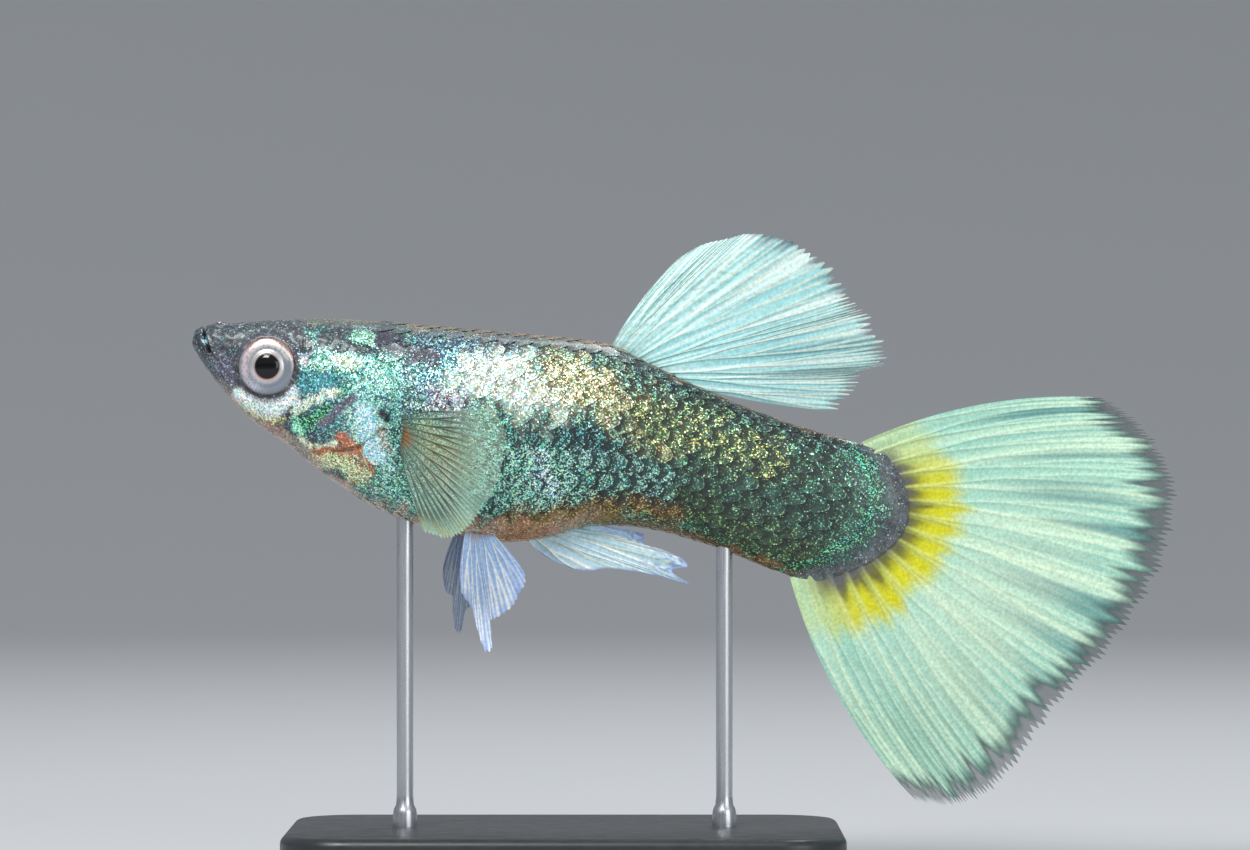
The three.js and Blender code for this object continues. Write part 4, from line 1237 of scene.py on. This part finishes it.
pelvic_fin("left", -1)
pelvic_fin("right", 1)

# %% [markdown]
# ## The stand
# Two thin brushed rods carry the fish over a plain slab, as in a museum case. The slab is a bevel profile
# carried round a rounded rectangle. The rods run on into the belly and the slab, which closes the small
# gaps that the solids keep, and each has a little collar at its foot.

# %% The slab and the rods
base_low, base_high = (np.array(corner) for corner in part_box("stand_base"))
COLLAR_LEVELS = np.array([-0.0005, 0.0001, 0.0006, 0.0008, 0.001, 0.0014])  # metres above the slab's top
COLLAR_WIDTHS = np.array([1.0, 1.0, 0.98, 0.9, 0.72])  # shares of the solid rod's radius
ROD_WIDTH = 0.68
ROD_ROWS = 12
ROD_RING = 48


def stand_piece(name, points, material, cad_node):
    """A closed tube given in metres on the stand, turned back to the fish's frame that a piece takes."""
    x, y, z = np.moveaxis(points / MM - SHIFT, -1, 0)
    level = np.stack([x * np.cos(PITCH) - z * np.sin(PITCH), y, z * np.cos(PITCH) + x * np.sin(PITCH)], -1)
    return piece(name, level, material, [cad_node], {}, 40)


def slab(material):
    """A rounded rectangle: corner centres plus the radius times the direction, less the bevel's profile."""
    corner, bevel, around = 0.003, 0.0004, 96
    turn = 2 * np.pi * (np.arange(around) + 0.5) / around
    size = (base_high - base_low)[:2] / 2
    middle = (base_high + base_low)[:2] / 2
    high = base_high[2] - base_low[2]
    quarter = np.linspace(0, np.pi / 2, 8)
    rising, closing = bevel * (1 - np.cos(quarter)), bevel * (1 - np.sin(quarter))
    drawn = np.concatenate([closing, rising])[:, None, None]
    level = np.concatenate([[0], rising, high - closing, [high]])
    heading = np.stack([np.cos(turn), np.sin(turn)], -1)
    centre = np.sign(heading) * (size - corner)
    inner = (middle + centre / 2)[None]
    outline = np.concatenate([inner, middle + centre + (corner - drawn) * heading, inner])
    points = np.concatenate([outline, np.broadcast_to(level[:, None, None], outline.shape[:2] + (1,))], -1)
    return stand_piece("slab", points, material, "stand_base")


def rod(name, cad_node, material):
    """A round bar with a flared foot, from inside the slab to inside the belly."""
    low, high = (np.array(corner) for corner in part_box(cad_node))
    middle = (low + high)[:2] / 2
    radius = (high - low)[0] / 2
    turn = 2 * np.pi * (np.arange(ROD_RING) + 0.5) / ROD_RING
    collar = base_high[2] + COLLAR_LEVELS
    level = np.concatenate([collar[:-1], np.linspace(collar[-1], high[2] + 0.0006, ROD_ROWS)])
    width = radius * np.concatenate([COLLAR_WIDTHS, np.full(ROD_ROWS, ROD_WIDTH)])
    x = middle[0] + width[:, None] * np.cos(turn)
    y = middle[1] + width[:, None] * np.sin(turn)
    points = np.stack([x, y, np.broadcast_to(level[:, None], x.shape)], -1)
    return stand_piece(name, points, material, cad_node)


def slab_material():
    """Dark satin, faintly cloudy in colour and shine."""
    material, tree, shader = new_material("satin_slab")
    cloud = pattern(tree, "TexNoise", Scale=900.0, Detail=6.0, Roughness=0.6).outputs["Fac"]
    tree.links.new(mix_colours(tree, cloud, rgba("26282b"), rgba("303338")), shader.inputs["Base Color"])
    tree.links.new(eased_output(tree, cloud, 0.3, 0.7, 0.3, 0.42), shader.inputs["Roughness"])
    return material


def rod_material():
    """Metal with a noise stretched along the rod, as brushing leaves it."""
    material, tree, shader = new_material("brushed_rod")
    stretch = pattern(tree, "Mapping", Scale=(1, 1, 0.03))
    lines = node(tree, "TexNoise", Scale=16000.0, Detail=3.0)
    tree.links.new(stretch.outputs["Vector"], lines.inputs["Vector"])
    tree.links.new(eased_output(tree, lines.outputs["Fac"], 0.3, 0.7, 0.22, 0.38), shader.inputs["Roughness"])
    preset(shader, Base_Color=rgba("c4c6ca"), Metallic=1.0)
    return material


slab(slab_material())
ROD = rod_material()
rod("front_rod", "stand_rod_front", ROD)
rod("rear_rod", "stand_rod_rear", ROD)

# %% [markdown]
# ## The studio
# A pale dish: a flat floor that sweeps up at its rim on every side, so the fish has the same quiet ground
# from all round, with soft lights above. The camera looks level at the fish's side from far off with a long
# lens, as the photo does, so near and far fins keep their sizes.

# %% Floor
FLOOR_REACH = 0.28
BEND_START = 0.3
BEND_RADIUS = 0.22
BEND_TURN = 65
DISH_RING = 128


def pale_dish():
    """A profile turned about the upright axis: a flat floor, then 65 degrees of a circle."""
    turn = np.linspace(0, np.radians(BEND_TURN), 24)
    flat = np.array([0.0005, 0.05, 0.15, FLOOR_REACH])
    r = np.concatenate([flat, BEND_START + BEND_RADIUS * np.sin(turn)])[:, None]
    z = np.concatenate([0 * flat, BEND_RADIUS * (1 - np.cos(turn))])[:, None]
    heading = 2 * np.pi * np.arange(DISH_RING) / DISH_RING
    points = np.stack([r * np.cos(heading), r * np.sin(heading), z + 0 * heading], -1)
    i, j = (grid.ravel() for grid in np.meshgrid(np.arange(len(r) - 1), np.arange(DISH_RING), indexing="ij"))
    after = (j + 1) % DISH_RING
    near, far = i * DISH_RING, (i + 1) * DISH_RING
    quads = np.stack([near + j, far + j, far + after, near + after], -1)
    mesh = bpy.data.meshes.new("pale_dish")
    mesh.from_pydata(points.reshape(-1, 3).tolist(), [], quads.tolist() + [list(range(DISH_RING))])
    mesh.shade_smooth()
    dish = bpy.data.objects.new("pale_dish", mesh)
    bpy.context.scene.collection.objects.link(dish)
    material, _, shader = new_material("pale_floor")
    preset(shader, Base_Color=rgba("b2b5b9"), Roughness=0.9)
    mesh.materials.append(material)


pale_dish()

# %% Lights and camera
VIEW_WIDTH = 56.25
MIDDLE_OF_VIEW = np.array([19.485, 0, -3.96])
CAMERA_AWAY = 0.25
SENSOR = 36


def soft_light(name, place, target, size, power, tone):
    """A square area light that looks at a target, with its size in metres and its power in watts."""
    data = bpy.data.lights.new(name, "AREA")
    data.size = size
    data.energy = power
    data.color = tone
    lamp = bpy.data.objects.new(name, data)
    lamp.location = place
    lamp.rotation_euler = (Vector(target) - Vector(place)).to_track_quat("-Z", "Y").to_euler()
    bpy.context.scene.collection.objects.link(lamp)


view_middle = Vector((SHIFT + MIDDLE_OF_VIEW) * MM)
soft_light("key", (-0.1, -0.2, 0.26), view_middle, 0.12, 0.92, (1.0, 0.985, 0.96))
soft_light("fill", (0.2, -0.26, 0.08), view_middle, 0.2, 0.3, (0.95, 0.98, 1.0))
soft_light("rim", (0.06, 0.1, 0.24), view_middle, 0.1, 0.36, (1, 1, 1))

world = bpy.data.worlds.new("studio")
bpy.context.scene.world = world
world.use_nodes = True
preset(world.node_tree.nodes["Background"], Color=(0.82, 0.86, 0.9, 1), Strength=0.42)

lens = bpy.data.cameras.new("side_view")
lens.sensor_width = SENSOR
lens.lens = SENSOR * CAMERA_AWAY / (VIEW_WIDTH * MM)
lens.clip_start = 0.01
camera = bpy.data.objects.new("side_view", lens)
camera.location = view_middle + Vector((0, -CAMERA_AWAY, 0))
camera.rotation_euler = (np.pi / 2, 0, 0)
bpy.context.scene.collection.objects.link(camera)
bpy.context.scene.camera = camera
bpy.context.scene.view_settings.view_transform = "Standard"
print("lens", round(lens.lens, 1), "mm")
